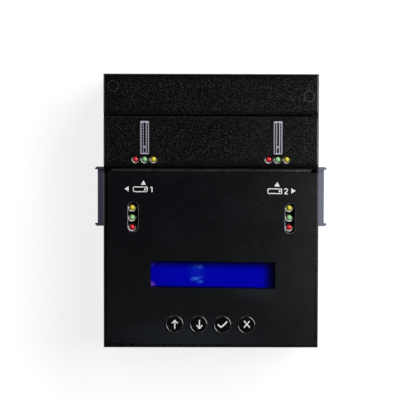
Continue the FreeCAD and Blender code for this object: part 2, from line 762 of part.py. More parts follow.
def drive_slots():
    """The two mating slots, each with a stepped key at one end."""
    face = side_x + DRIVE_REACH
    deep = face - DRIVE_SLOT_DEPTH
    top = drive_slot_z + DRIVE_SLOT_HEIGHT
    cuts = []
    for start, length in ((signal_y, SIGNAL_SLOT), (power_y, POWER_SLOT)):
        end = start + length
        slot = block(deep, face, start, end, drive_slot_z, top)
        cuts.append(slot.fuse(block(deep, face, end - KEY_WIDTH, end, drive_slot_z - KEY_DROP, top)))
    return cuts


def mirrored(shape):
    return shape.mirror(V(), V(1, 0, 0))


def drive_contacts():
    deep = side_x + DRIVE_REACH - DRIVE_SLOT_DEPTH
    top = drive_slot_z + DRIVE_SLOT_HEIGHT
    blades = []
    rows = [(signal_y, SIGNAL_SLOT, SIGNAL_COUNT), (power_y, POWER_SLOT, POWER_COUNT)]
    for start, length, count in rows:
        first = start + (length - KEY_WIDTH) / 2 - (count - 1) / 2 * DRIVE_PITCH
        for i in range(count):
            y = first + i * DRIVE_PITCH
            blades.append(block(deep, deep + DRIVE_BLADE_LENGTH, y - DRIVE_BLADE_WIDTH / 2,
                                y + DRIVE_BLADE_WIDTH / 2, top - DRIVE_BLADE_THICKNESS, top))
    return group(blades + [mirrored(blade) for blade in blades])


# Card sockets

card_top = top_z + CARD_PROUD
card_key_y = card_y - CARD_KEY_OFFSET


card_window_ys = [card_key_y + (i + 1) * CARD_WINDOW_PITCH for i in range(CARD_WINDOWS_BACK)]
card_window_ys += [card_key_y - (i + 1) * CARD_FRONT_PITCH for i in range(CARD_WINDOWS_FRONT)]


def card_socket(x):
    """Upright socket with a keyed card slot between two rows of contact windows."""
    body = rounded(x, card_y, CARD_WIDTH, CARD_LENGTH, hung_top, card_top, CARD_CORNER)
    slot = centred(x, card_y, CARD_SLOT_WIDTH, CARD_SLOT_LENGTH, card_top - CARD_SLOT_DEPTH, card_top)
    key = centred(x, card_key_y, CARD_SLOT_WIDTH, CARD_KEY_WIDTH, card_top - CARD_SLOT_DEPTH, card_top)
    cuts = [slot.cut(key)]
    row_z = card_top - CARD_ROW_DEPTH
    for hand in (-1, 1):
        row_x = x + hand * CARD_ROW_OFFSET
        cuts.append(rod(row_x, card_key_y, row_z, card_top, CARD_KEY_HOLE))
        for y in card_window_ys:
            cuts.append(centred(row_x, y, CARD_ROW_WIDTH, CARD_WINDOW_LENGTH, row_z, card_top))
    return body.cut(cuts)


def card_contacts():
    """Pairs of contact tails standing in the windows of both sockets."""
    low, high = card_top - CARD_ROW_DEPTH, card_top - CARD_CONTACT_SINK
    rows = [x + hand * CARD_ROW_OFFSET for x in card_xs for hand in (-1, 1)]
    ys = [y + side * CARD_PITCH / 2 for y in card_window_ys for side in (-1, 1)]
    return group([centred(x, y, CARD_ROW_WIDTH, CARD_CONTACT_WIDTH, low, high) for x in rows for y in ys])


# Lamps

collar_top = top_z - LED_COLLAR_DROP
led_z = collar_top - LED_SEAT


def led(place):
    """Round-nosed lamp standing in its collar."""
    x, y = place
    shoulder = led_z + LED_LENGTH - LED_RADIUS
    return rod(x, y, led_z, shoulder, LED_RADIUS).fuse(
        Part.makeSphere(LED_RADIUS, V(x, y, shoulder))).removeSplitter()


def led_collar(place):
    """Pale spacer with a dished top and a blind bore for its lamp."""
    bore = LED_RADIUS + LED_GAP
    profile = [(0, hung_top), (LED_COLLAR_RADIUS, hung_top), (LED_COLLAR_RADIUS, collar_top),
               (bore, collar_top - LED_DISH), (bore, led_z), (0, led_z)]
    return turned(profile, *place)


slot_leds = slot_led_places()
side_leds = side_led_places()
red_places = slot_leds[0::3] + side_leds[0::3]
green_places = slot_leds[1::3] + side_leds[1::3]
yellow_places = slot_leds[2::3] + side_leds[2::3]


# Display

def display_board():
    board = centred(DISPLAY_SHIFT, display_y, display_length, display_width,
                    display_z, display_top)
    return drilled(board, display_fixings)


def display_frame():
    """Pressed metal frame over the glass and the backlight, open below."""
    outer = centred(DISPLAY_SHIFT, display_y, FRAME_LENGTH, FRAME_WIDTH, display_top, frame_top)
    outer = outer.makeFillet(FRAME_EDGE, level_edges(outer, frame_top))
    wall = 2 * FRAME_SHEET
    inner = centred(DISPLAY_SHIFT, display_y, FRAME_LENGTH - wall, FRAME_WIDTH - wall,
                    display_top, glass_top)
    lap = 2 * FRAME_LAP
    window = centred(DISPLAY_SHIFT, display_y, window_length + lap, window_width + lap, glass_top, frame_top)
    return outer.cut([inner, window])


def display_layer(z0, z1):
    """A layer that fills the frame's inside, with a small gap round it."""
    shrink = 2 * (FRAME_SHEET + GLASS_GAP)
    return centred(DISPLAY_SHIFT, display_y, FRAME_LENGTH - shrink, FRAME_WIDTH - shrink, z0, z1)


def display_gasket():
    inset = 2 * GASKET_INSET
    outer = centred(DISPLAY_SHIFT, display_y, FRAME_LENGTH - inset, FRAME_WIDTH - inset, frame_top, under_z)
    lap = 2 * GASKET_LAP
    window = centred(DISPLAY_SHIFT, display_y, window_length + lap, window_width + lap, frame_top, under_z)
    return outer.cut(window)


# Buttons

cap_top = film_z + CAP_PROUD
cap_shoulder = under_z - CAP_LIFT
cap_z = cap_shoulder - CAP_FLANGE_HEIGHT
switch_top = hung_top + SWITCH_HEIGHT
well_z = switch_top - SWITCH_WELL


def button_board():
    board = centred(BUTTON_SHIFT, button_y, BUTTON_BOARD_LENGTH, BUTTON_BOARD_WIDTH, hung_z, hung_top)
    return drilled(board, button_fixings)


def button_switches():
    switches = []
    for x, y in button_places:
        body = rounded(x, y, SWITCH_SIDE, SWITCH_SIDE, hung_top, switch_top, SWITCH_EDGE)
        switches.append(body.cut(rod(x, y, well_z, switch_top, PLUNGER_RADIUS + PLUNGER_GAP)))
    return group(switches)


def button_cap(x, y):
    rim_z = cap_top - CAP_BEVEL_DOWN
    cap = rod(x, y, cap_z, rim_z, CAP_RADIUS)
    bevel = Part.makeCone(CAP_RADIUS, CAP_RADIUS - CAP_BEVEL_OUT, CAP_BEVEL_DOWN, V(x, y, rim_z))
    flange = rod(x, y, cap_z, cap_shoulder, CAP_RADIUS + CAP_FLANGE)
    return cap.fuse([bevel, flange]).removeSplitter()


def button_plunger(x, y):
    return rod(x, y, well_z + PLUNGER_LIFT, cap_z, PLUNGER_RADIUS)


# Power board, jack and rocker switch

jack_axis_z = power_z - JACK_AXIS_DROP
wall_y = back_y - SHEET


def power_board():
    half = side_x - POWER_BOARD_SIDE
    board = block(-half, half, rear_front_y + POWER_BOARD_FRONT, back_y - POWER_BOARD_BACK,
                  power_z, power_top)
    return drilled(board, power_fixings)


def dc_jack():
    """Jack under the power board, its round nose flush with the back of the case."""
    body = block(JACK_X - JACK_WIDTH / 2, JACK_X + JACK_WIDTH / 2, wall_y - JACK_LENGTH, wall_y,
                 power_z - JACK_HEIGHT, power_z)
    body = body.makeFillet(JACK_CHAMFER, [e for e in body.Edges
                                          if e.BoundBox.YLength > JACK_WIDTH
                                          and e.BoundBox.ZMax < jack_axis_z])
    nose = rod_y(JACK_X, jack_axis_z, wall_y, back_y, JACK_NOSE_RADIUS)
    bore = rod_y(JACK_X, jack_axis_z, back_y - JACK_BORE_DEPTH, back_y, JACK_BORE_RADIUS)
    return body.fuse(nose).cut(bore)


def dc_jack_pin():
    end = back_y - JACK_PIN_SINK - JACK_PIN_RADIUS
    pin = rod_y(JACK_X, jack_axis_z, back_y - JACK_BORE_DEPTH, end, JACK_PIN_RADIUS)
    return pin.fuse(Part.makeSphere(JACK_PIN_RADIUS, V(JACK_X, end, jack_axis_z))).removeSplitter()


def upright(length_x, y0, y1, length_z):
    """Block centred on the switch, seen from behind."""
    return block(ROCKER_X - length_x / 2, ROCKER_X + length_x / 2, y0, y1,
                 rocker_z - length_z / 2, rocker_z + length_z / 2)


def switch_housing():
    bezel = upright(BEZEL_LENGTH, back_y, back_y + BEZEL, BEZEL_WIDTH)
    rim = [e for e in bezel.Edges if e.BoundBox.YMin > back_y + BEZEL / 2]
    bezel = bezel.makeChamfer(BEZEL_EDGE, rim)
    body = upright(HOUSING_LENGTH, back_y - HOUSING_DEPTH, back_y, HOUSING_WIDTH)
    well = upright(2 * (ROCKER_RADIUS + ROCKER_GAP), rocker_y - ROCKER_WELL, back_y + BEZEL,
                   ROCKER_WIDTH + 2 * ROCKER_GAP)
    reach = ROCKER_WIDTH / 2 + BOSS_LENGTH + BOSS_GAP
    pivot = rod(ROCKER_X, rocker_y, rocker_z - reach, rocker_z + reach, BOSS_RADIUS + BOSS_GAP)
    return bezel.fuse(body).removeSplitter().cut([well, pivot])


def power_rocker():
    """Rocker with ends concentric with its pivot, resting tilted to one side."""
    def rim(height):
        return math.sqrt(ROCKER_RADIUS ** 2 - height ** 2)

    low = rocker_z - ROCKER_WIDTH / 2
    right_top = V(rim(ROCKER_CROWN), ROCKER_CROWN, 0)
    right_low = V(rim(ROCKER_ROOT), -ROCKER_ROOT, 0)
    left_top = V(-right_top.x, right_top.y, 0)
    left_low = V(-right_low.x, right_low.y, 0)
    valley = V(0, ROCKER_VALLEY, 0)
    outline = Part.Wire([
        Part.LineSegment(left_top, valley).toShape(),
        Part.LineSegment(valley, right_top).toShape(),
        Part.Arc(right_top, V(ROCKER_RADIUS, 0, 0), right_low).toShape(),
        Part.LineSegment(right_low, left_low).toShape(),
        Part.Arc(left_low, V(-ROCKER_RADIUS, 0, 0), left_top).toShape(),
    ])
    body = Part.Face(outline).extrude(V(0, 0, ROCKER_WIDTH))
    boss = rod(0, 0, -BOSS_LENGTH, ROCKER_WIDTH + BOSS_LENGTH, BOSS_RADIUS)
    rocker = body.fuse(boss)
    rocker.rotate(V(), V(0, 0, 1), ROCKER_TILT)
    return rocker.translated(V(ROCKER_X, rocker_y, low))


terminal_y = back_y - HOUSING_DEPTH
terminal_xs = [ROCKER_X - TERMINAL_SPACING / 2, ROCKER_X + TERMINAL_SPACING / 2]


def switch_terminals():
    return group([block(x - TERMINAL / 2, x + TERMINAL / 2, terminal_y - TERMINAL_LENGTH, terminal_y,
                        rocker_z - TERMINAL_WIDTH / 2, rocker_z + TERMINAL_WIDTH / 2) for x in terminal_xs])


def switch_lead(x):
    """Lead from the end of a terminal, forward and up to the power board."""
    start = V(x, terminal_y - TERMINAL_LENGTH, rocker_z)
    corner = start + V(0, -LEAD_BEND, 0)
    rise = LEAD_BEND * (1 - math.cos(math.pi / 4))
    middle = V(x, corner.y + rise, rocker_z + rise)
    bend_end = corner + V(0, 0, LEAD_BEND)
    path = Part.Wire([Part.Arc(start, middle, bend_end).toShape(),
                      Part.LineSegment(bend_end, V(x, corner.y, power_z)).toShape()])
    section = Part.Wire(Part.makeCircle(LEAD_RADIUS, start, V(0, -1, 0)))
    return path.makePipeShell([section], True, True)


# Parts on the boards

def controller_chip():
    return centred(0, drive_y, CONTROLLER_SIDE, CONTROLLER_SIDE, main_top, main_top + CONTROLLER_HEIGHT)


def heat_sink():
    """Finned block on the controller chip."""
    low = main_top + CONTROLLER_HEIGHT
    body = centred(0, drive_y, SINK_SIDE, SINK_SIDE, low, low + SINK_HEIGHT)
    pitch = (SINK_SIDE - FIN) / (FIN_COUNT - 1)
    first = -SINK_SIDE / 2 + FIN + (pitch - FIN) / 2
    gaps = []
    for i in range(FIN_COUNT - 1):
        x = first + i * pitch
        gaps.append(centred(x, drive_y, pitch - FIN, SINK_SIDE, low + SINK_BASE, low + SINK_HEIGHT))
    return body.cut(gaps)


def bridge_chips():
    top = main_top + BRIDGE_HEIGHT
    return group([centred(hand * BRIDGE_X, drive_y, BRIDGE_SIDE, BRIDGE_SIDE, main_top, top)
                  for hand in (-1, 1)])


def buzzer():
    top = main_top + BUZZER_HEIGHT
    body = rod(BUZZER_X, display_y, main_top, top, BUZZER_RADIUS)
    return body.cut(rod(BUZZER_X, display_y, top - BUZZER_SOUND_HOLE, top, BUZZER_SOUND_HOLE))


power_middle_y = (rear_front_y + back_y) / 2


def power_capacitors():
    low = power_z - CAPACITOR_HEIGHT
    xs = [CAPACITOR_X + i * CAPACITOR_PITCH for i in range(CAPACITOR_COUNT)]
    return group([rod(x, power_middle_y, low, power_z, CAPACITOR_RADIUS) for x in xs])


def power_inductor():
    low = power_z - INDUCTOR_HEIGHT
    body = centred(INDUCTOR_X, power_middle_y, INDUCTOR_SIDE, INDUCTOR_SIDE, low, power_z)
    return body.makeChamfer(INDUCTOR_EDGE, upright_edges(body))


# Flat cables, each from a socket under a hung board to one on the main board

cable_runs = {
    "display_cable": [(DISPLAY_SHIFT, display_y + display_width / 2, DISPLAY_CABLE, display_z, 1)],
    "button_cable": [(BUTTON_SHIFT, button_y - CABLE_SOCKET_DEPTH / 2, BUTTON_CABLE, hung_z, -1)],
    "slot_cables": [(x, card_y + CABLE_SOCKET_DEPTH, SLOT_CABLE, hung_z, 1) for x in card_xs],
    "side_led_cables": [(x, side_led_y + CABLE_SOCKET_DEPTH, SIDE_CABLE, hung_z, 1) for x in side_led_xs],
    "power_cable": [(POWER_CABLE_X, main_back_y - CABLE_SOCKET_DEPTH, POWER_CABLE, power_z, -1)],
}


def flat_cable(x, mouth_y, width, board_z, way):
    """C-shaped flat cable: a straight run out of each socket, joined by a half round."""
    high = board_z - CABLE_SOCKET_HEIGHT / 2
    low = main_top + CABLE_SOCKET_HEIGHT / 2
    middle_z = (high + low) / 2
    bend_y = mouth_y + way * CABLE_STRAIGHT
    end_y = mouth_y - way * CABLE_INSERT

    def track(radius):
        upper = V(x - width / 2, bend_y, middle_z + radius)
        lower = V(x - width / 2, bend_y, middle_z - radius)
        return upper, V(x - width / 2, bend_y + way * radius, middle_z), lower

    outer = track((high - low + CABLE) / 2)
    inner = track((high - low - CABLE) / 2)
    ends = [V(point.x, end_y, point.z) for point in (outer[0], outer[2], inner[2], inner[0])]
    outline = Part.Wire([
        Part.LineSegment(ends[0], outer[0]).toShape(),
        Part.Arc(*outer).toShape(),
        Part.LineSegment(outer[2], ends[1]).toShape(),
        Part.LineSegment(ends[1], ends[2]).toShape(),
        Part.LineSegment(ends[2], inner[2]).toShape(),
        Part.Arc(inner[2], inner[1], inner[0]).toShape(),
        Part.LineSegment(inner[0], ends[3]).toShape(),
        Part.LineSegment(ends[3], ends[0]).toShape(),
    ])
    return Part.Face(outline).extrude(V(width, 0, 0))


def cable_socket(x, mouth_y, width, z0, way):
    """Low socket with a slit for a flat cable."""
    middle_y = mouth_y - way * CABLE_SOCKET_DEPTH / 2
    z1 = z0 + CABLE_SOCKET_HEIGHT
    body = centred(x, middle_y, width + 2 * CABLE_SOCKET_SIDE, CABLE_SOCKET_DEPTH, z0, z1)
    slit_y = mouth_y - way * CABLE_INSERT / 2
    half = CABLE / 2 + CABLE_GAP
    middle_z = (z0 + z1) / 2
    slit = centred(x, slit_y, width + 2 * CABLE_GAP, CABLE_INSERT, middle_z - half, middle_z + half)
    return body.cut(slit)


def cable_sockets():
    sockets = []
    for runs in cable_runs.values():
        for x, mouth_y, width, board_z, way in runs:
            sockets.append(cable_socket(x, mouth_y, width, board_z - CABLE_SOCKET_HEIGHT, way))
            sockets.append(cable_socket(x, mouth_y, width, main_top, way))
    return group(sockets)


# The whole object

nodes = {
    "base_tray": base_tray(),
    "front_cover": front_cover(),
    "slot_cover": slot_cover(),
    "rear_cover": rear_cover(),
    "panel_overlay": panel_overlay(),
    "rubber_feet": rubber_feet(),
    "cover_screws": cover_screws(),
    "clinch_standoffs": clinch_standoffs(),
    "main_board": main_board(),
    "main_board_standoffs": group(standoffs(main_fixings, floor_z, main_z, main_z)),
    "board_screws": board_screws(),
    "controller_chip": controller_chip(),
    "heat_sink": heat_sink(),
    "bridge_chips": bridge_chips(),
    "buzzer": buzzer(),
    "left_drive_socket": mirrored(drive_socket()),
    "right_drive_socket": drive_socket(),
    "drive_contacts": drive_contacts(),
    "slot_board": slot_board(),
    "hung_standoffs": hung_standoffs(),
    "left_card_socket": card_socket(-CARD_X),
    "right_card_socket": card_socket(CARD_X),
    "card_contacts": card_contacts(),
    "red_leds": group([led(place) for place in red_places]),
    "green_leds": group([led(place) for place in green_places]),
    "yellow_leds": group([led(place) for place in yellow_places]),
    "led_collars": group([led_collar(place) for place in slot_leds + side_leds]),
    "side_led_boards": side_led_boards(),
    "display_board": display_board(),
    "display_backlight": display_layer(display_top, glass_z),
    "display_glass": display_layer(glass_z, glass_top),
    "display_frame": display_frame(),
    "display_gasket": display_gasket(),
    "display_standoffs": group(standoffs(display_fixings, display_top, under_z, display_top)),
    "button_board": button_board(),
    "button_switches": button_switches(),
    "power_board": power_board(),
    "dc_jack": dc_jack(),
    "dc_jack_pin": dc_jack_pin(),
    "switch_housing": switch_housing(),
    "power_rocker": power_rocker(),
    "switch_terminals": switch_terminals(),
    "switch_leads": group([switch_lead(x) for x in terminal_xs]),
    "power_capacitors": power_capacitors(),
    "power_inductor": power_inductor(),
    "cable_sockets": cable_sockets(),
}
for name, runs in cable_runs.items():
    nodes[name] = group([flat_cable(*run) for run in runs])
for name, (x, y) in zip(("up", "down", "confirm", "cancel"), button_places):
    nodes[name + "_button"] = button_cap(x, y)
    nodes[name + "_plunger"] = button_plunger(x, y)

# Origin at the bottom centre of everything, the tilted rocker included
origin_y = (front_y + nodes["power_rocker"].BoundBox.YMax) / 2

os.makedirs("parts", exist_ok=True)
for name, shape in nodes.items():
    shape.translate(V(0, -origin_y, 0))
    shape.exportStep("parts/" + name + ".step")
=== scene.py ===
"""Looks of a stand-alone drive eraser: finishes for its solids, printed marks, screws and a studio.

Metres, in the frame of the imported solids: +X is right, +Y is the back, +Z is up.
"""
import logging
import math
from dataclasses import dataclass, field, replace
from enum import Enum
from typing import Callable, Sequence

import bpy
from mathutils import Color, Matrix, Vector


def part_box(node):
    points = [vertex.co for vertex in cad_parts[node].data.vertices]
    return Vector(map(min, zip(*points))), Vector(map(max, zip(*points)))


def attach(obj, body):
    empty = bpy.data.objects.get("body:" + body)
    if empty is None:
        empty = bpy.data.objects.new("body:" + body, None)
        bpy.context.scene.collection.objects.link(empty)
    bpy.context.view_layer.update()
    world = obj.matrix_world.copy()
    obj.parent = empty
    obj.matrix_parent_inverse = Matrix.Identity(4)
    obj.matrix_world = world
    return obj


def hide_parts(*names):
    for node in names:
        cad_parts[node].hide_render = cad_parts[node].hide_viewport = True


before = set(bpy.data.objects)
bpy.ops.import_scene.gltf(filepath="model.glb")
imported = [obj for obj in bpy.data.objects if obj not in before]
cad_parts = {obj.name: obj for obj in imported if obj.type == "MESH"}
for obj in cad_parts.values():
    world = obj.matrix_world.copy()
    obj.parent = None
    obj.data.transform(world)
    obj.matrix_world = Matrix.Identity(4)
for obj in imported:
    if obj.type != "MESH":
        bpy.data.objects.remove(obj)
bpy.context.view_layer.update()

LOG = logging.getLogger("drive_eraser")
MM = 0.001

Rgb = tuple[float, float, float]
Rgba = tuple[float, float, float, float]
Place = tuple[float, float]
Stops = tuple[float, float, float, float]
Spot = tuple[float, float, float, float, float]
Piece = bpy.types.Object
Socket = bpy.types.NodeSocket

# How far apart two levels may be and still count as one, and how much of a normal points where a face faces.
TOLERANCE = 0.01 * MM
FACING = 0.9

SCREEN_WHITE = 255
BLACK: Rgba = (0, 0, 0, 1)
WHITE: Rgba = (1, 1, 1, 1)
RISE: Place = (0.0, 1.0)
FALL: Place = (1.0, 0.0)

# Where most of a cloud noise lies, and the size that makes one feature of it as long as a coordinate's unit.
NOISE_REACH: Place = (0.3, 0.7)
UNIT_MM = 1 / MM
SPOT_DEPTH_MM = 10.0

# Sockets of a colour mixer: its share and two colours, and its result.
MIX_INPUTS = (0, 6, 7)
MIX_OUTPUT = 2

# Share of a stroke's width that its corners are rounded by.
STROKE_ROUND = 0.22

# Width and length of a triangle in a circle of radius 1, and how far its middle is from the circle's.
TRIANGLE: Place = (math.sqrt(3), 1.5)
TRIANGLE_MIDDLE = 0.25


class Body(Enum):
    """Bodies that pieces ride on."""

    CHASSIS = "chassis"
    UP = "up_key"
    DOWN = "down_key"
    CONFIRM = "confirm_key"
    CANCEL = "cancel_key"
    ROCKER = "rocker"


class Way(Enum):
    """Ways that a printed arrowhead points, as turns in degrees from straight back."""

    BACK = 0.0
    LEFT = 90.0
    RIGHT = -90.0


class Edge(Enum):
    """Edges of the display, each as an axis and the way along it."""

    RIGHT = (0, 1)
    LEFT = (0, -1)
    BACK = (1, 1)
    FRONT = (1, -1)


class Axis(Enum):
    """Axes that a pattern is measured along."""

    X = "X"
    Y = "Y"
    Z = "Z"


class Op(Enum):
    """Ways to work out one value from others."""

    ADD = "ADD"
    TAKE = "SUBTRACT"
    TIMES = "MULTIPLY"
    MOST = "MAXIMUM"
    SIZE = "ABSOLUTE"


class Ease(Enum):
    """Ways that a value goes from one end of a range to the other."""

    EVEN = "LINEAR"
    SOFT = "SMOOTHSTEP"


class Cut(Enum):
    """Ways to put two closed shapes together."""

    UNITE = "UNION"
    TAKE_OUT = "DIFFERENCE"


class Part(Enum):
    """Parts of a mesh that can be selected."""

    CORNERS = "vertices"
    EDGES = "edges"
    FACES = "polygons"


def from_front(distance_mm: float) -> float:
    """Y of a place given by its distance in millimetres from the front edge of the case."""
    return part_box("front_cover")[0].y + distance_mm * MM


def rows_of(name: str, gap_mm: float) -> list[float]:
    """Middles along Y of a solid's rows of like parts.

    Args:
        name: The solid.
        gap_mm: Least space between two rows, in millimetres.

    Returns:
        One Y for each row, from the front.
    """
    ys = sorted(v.co.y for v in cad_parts[name].data.vertices)
    rows = [[ys[0]]]
    for y in ys[1:]:
        if y - rows[-1][-1] > gap_mm * MM:
            rows.append([])
        rows[-1].append(y)
    return [(row[0] + row[-1]) / 2 for row in rows]


def linear(colour: Rgb) -> Rgba:
    """Scene-linear colour, with an alpha of 1, of a red, green and blue from 0 to 255."""
    made = Color([c / SCREEN_WHITE for c in colour]).from_srgb_to_scene_linear()
    return (made.r, made.g, made.b, 1.0)


class NodeSheet:
    """The node tree of one material, with short ways to add and join its nodes."""

    def __init__(self, name: str) -> None:
        """Start a material with its shader and Object coordinates.

        Args:
            name: Name of the material.
        """
        self.material = bpy.data.materials.new(name)
        self.material.use_nodes = True
        self.tree = self.material.node_tree
        self.shader = self.tree.nodes["Principled BSDF"]
        self.where = self.node("ShaderNodeTexCoord").outputs["Object"]

    def node(self, kind: str, **settings: object) -> bpy.types.Node:
        """Add a node.

        Args:
            kind: The node's type.
            **settings: Properties to set on it.

        Returns:
            The new node.
        """
        made = self.tree.nodes.new(kind)
        for key, value in settings.items():
            setattr(made, key, value)
        return made

    def feed(self, socket: Socket, value: object) -> None:
        """Join a socket to another, or set its value.

        Args:
            socket: The input to feed.
            value: An output socket, a number or a colour.
        """
        if isinstance(value, bpy.types.NodeSocket):
            self.tree.links.new(value, socket)
        else:
            socket.default_value = value

    def constant(self, **values: object) -> None:
        """Set plain values on the shader's own sockets, with _ for a space in their names."""
        for key, value in values.items():
            self.shader.inputs[key.replace("_", " ")].default_value = value

    def vary(self, value: Socket, *names: str) -> None:
        """Feed a value to named sockets of the shader."""
        for name in names:
            self.feed(self.shader.inputs[name], value)

    def colour(self) -> Socket:
        """The colour that feeds the shader so far."""
        return self.shader.inputs["Base Color"].links[0].from_socket

    def shift(self, place: Sequence[float], scale: Sequence[float] = (1, 1, 1), turn: float = 0.0) -> Socket:
        """Object coordinates measured from a place.

        Args:
            place: The new zero, in metres.
            scale: Length of one unit along each axis.
            turn: Turn about the upright, in degrees.

        Returns:
            The moved coordinates.
        """
        made = self.node("ShaderNodeMapping", vector_type="TEXTURE")
        self.feed(made.inputs["Vector"], self.where)
        made.inputs["Location"].default_value = place
        made.inputs["Rotation"].default_value = (0, 0, math.radians(turn))
        made.inputs["Scale"].default_value = scale
        return made.outputs["Vector"]

    def texture(self, kind: str, size_mm: float, at: Socket | None = None,
                **settings: object) -> bpy.types.Node:
        """Add a texture.

        Args:
            kind: The node's type.
            size_mm: Size of its main features.
            at: Coordinates, the object's own by default.
            **settings: Properties to set on it.

        Returns:
            The texture's node.
        """
        made = self.node(kind, **settings)
        self.feed(made.inputs["Vector"], at or self.where)
        made.inputs["Scale"].default_value = 1 / (size_mm * MM)
        return made

    def noise(self, size_mm: float, detail: float = 2.0, at: Socket | None = None) -> Socket:
        """Soft cloud noise.

        Args:
            size_mm: Size of its main features.
            detail: Number of finer layers.
            at: Coordinates, the object's own by default.

        Returns:
            A value round one half.
        """
        made = self.texture("ShaderNodeTexNoise", size_mm, at)
        made.inputs["Detail"].default_value = detail
        return made.outputs["Fac"]

    def span(self, value: Socket, reach: Place, ends: Place, ease: Ease = Ease.EVEN) -> Socket:
        """A value carried from one range to another and held inside it.

        Args:
            value: What is carried.
            reach: Start and end of its range.
            ends: What the start and the end become.
            ease: How it goes between them.

        Returns:
            The new value.
        """
        made = self.node("ShaderNodeMapRange", interpolation_type=ease.value)
        for socket, given in zip(made.inputs, (value, *reach, *ends)):
            self.feed(socket, given)
        return made.outputs["Result"]

    def ramp(self, value: Socket, reach_mm: Place, ends: Place = RISE, start: float = 0.0) -> Socket:
        """A share that goes between two ends while a length in metres goes over a reach past a start."""
        near, far = (start + edge * MM for edge in reach_mm)
        return self.span(value, (near, far), ends)

    def gate(self, value: Socket, stops_mm: Stops) -> Socket:
        """A share that rises over the first two stops, in millimetres, and falls over the last two."""
        return self.product(self.ramp(value, stops_mm[:2]), self.ramp(value, stops_mm[2:], FALL))

    def sum(self, op: Op, first: object, second: object = 0.0) -> Socket:
        """A value worked out from one or two others.

        Args:
            op: How it is worked out.
            first: The first value.
            second: The second value.

        Returns:
            The result.
        """
        made = self.node("ShaderNodeMath", operation=op.value)
        self.feed(made.inputs[0], first)
        self.feed(made.inputs[1], second)
        return made.outputs["Value"]

    def product(self, first: Socket, *others: Socket) -> Socket:
        """Values multiplied one after another.

        Args:
            first: The first value.
            *others: The other values.

        Returns:
            The product.
        """
        for other in others:
            first = self.sum(Op.TIMES, first, other)
        return first

    def band(self, value: Socket, middle: float, reach_mm: Place) -> Socket:
        """A share that is 1 where a length in metres is close to a middle, and fades to 0 over a reach."""
        off = self.sum(Op.SIZE, self.sum(Op.TAKE, value, middle))
        return self.ramp(off, reach_mm, FALL)

    def blend(self, share: object, first: object, second: object) -> Socket:
        """Two colours mixed by a share.

        Args:
            share: From 0 for the first to 1 for the second.
            first: The first colour.
            second: The second colour.

        Returns:
            The mixed colour.
        """
        made = self.node("ShaderNodeMix", data_type="RGBA")
        for index, given in zip(MIX_INPUTS, (share, first, second)):
            self.feed(made.inputs[index], given)
        return made.outputs[MIX_OUTPUT]

    def axis(self, axis: Axis, at: Socket | None = None) -> Socket:
        """The distance along one axis.

        Args:
            axis: The axis.
            at: Coordinates, the object's own by default.

        Returns:
            The distance.
        """
        made = self.node("ShaderNodeSeparateXYZ")
        self.feed(made.inputs["Vector"], at or self.where)
        return made.outputs[axis.value]

    def spot(self, middle: Sequence[float], size_mm: Place, most: float, turn: float = 0.0) -> Socket:
        """A soft upright spot.

        Args:
            middle: Its middle, in metres.
            size_mm: Its half length and half width, in millimetres.
            most: Its share in the middle.
            turn: Turn about the upright, in degrees.

        Returns:
            The share, falling to nothing at the spot's edge.
        """
        away = self.node("ShaderNodeVectorMath", operation="LENGTH")
        sizes = [size * MM for size in (*size_mm, SPOT_DEPTH_MM)]
        self.feed(away.inputs[0], self.shift(middle, sizes, turn))
        return self.span(away.outputs["Value"], RISE, (most, 0.0), Ease.SOFT)

    def relief(self, height: Socket, strength: float, depth_mm: float) -> None:
        """Raise the surface by a bump.

        Args:
            height: Height, from 0 to 1.
            strength: Share of the bump that shows.
            depth_mm: How high 1 stands.
        """
        made = self.node("ShaderNodeBump")
        made.inputs["Strength"].default_value = strength
        made.inputs["Distance"].default_value = depth_mm * MM
        self.feed(made.inputs["Height"], height)
        self.vary(made.outputs["Normal"], "Normal")


@dataclass(frozen=True)
class Finish:
    """A grained surface whose colour, roughness and relief vary with noise.

    Reaches and sizes are in millimetres, and places that are read from solids are in metres. The broad
    change of colour and the rise of the relief are given as multiples of the grain.
    """

    name: str
    colour: Rgb
    roughness: float
    metallic: float = 0.0
    specular: float = 0.5
    grain_mm: float = 0.6
    variation: float = 0.25
    spread: float = 0.07
    strength: float = 0.12
    broad: float = 14.0
    rise: float = 0.2

    def material(self) -> bpy.types.Material:
        """The material of this finish, made on first use."""
        return bpy.data.materials.get(self.name) or self.make()

    def make(self) -> bpy.types.Material:
        """Make the material.

        Returns:
            The new material.
        """
        sheet = NodeSheet(self.name)
        sheet.constant(Metallic=self.metallic, Specular_IOR_Level=self.specular)
        self.pattern(sheet)
        return sheet.material

    def tint(self, sheet: NodeSheet, share: Socket) -> Socket:
        """The colour, between its darker and its lighter shade.

        Args:
            sheet: The material's nodes.
            share: From 0 for the darker to 1 for the lighter shade.

        Returns:
            The colour.
        """
        base = linear(self.colour)[:3]
        dark = tuple(c * (1 - self.variation) for c in base) + (1.0,)
        light = tuple(min(1.0, c * (1 + self.variation)) for c in base) + (1.0,)
        return sheet.blend(share, dark, light)

    def shine(self) -> Place:
        """The least and the most roughness."""
        return (self.roughness - self.spread, self.roughness + self.spread)

    def pattern(self, sheet: NodeSheet) -> None:
        """Lay out the colour, roughness and relief.

        Args:
            sheet: The material's nodes.
        """
        grain = sheet.noise(self.grain_mm, detail=3.0)
        sheet.vary(self.tint(sheet, sheet.noise(self.grain_mm * self.broad)), "Base Color")
        sheet.vary(sheet.span(grain, NOISE_REACH, self.shine()), "Roughness")
        sheet.relief(grain, self.strength, self.grain_mm * self.rise)


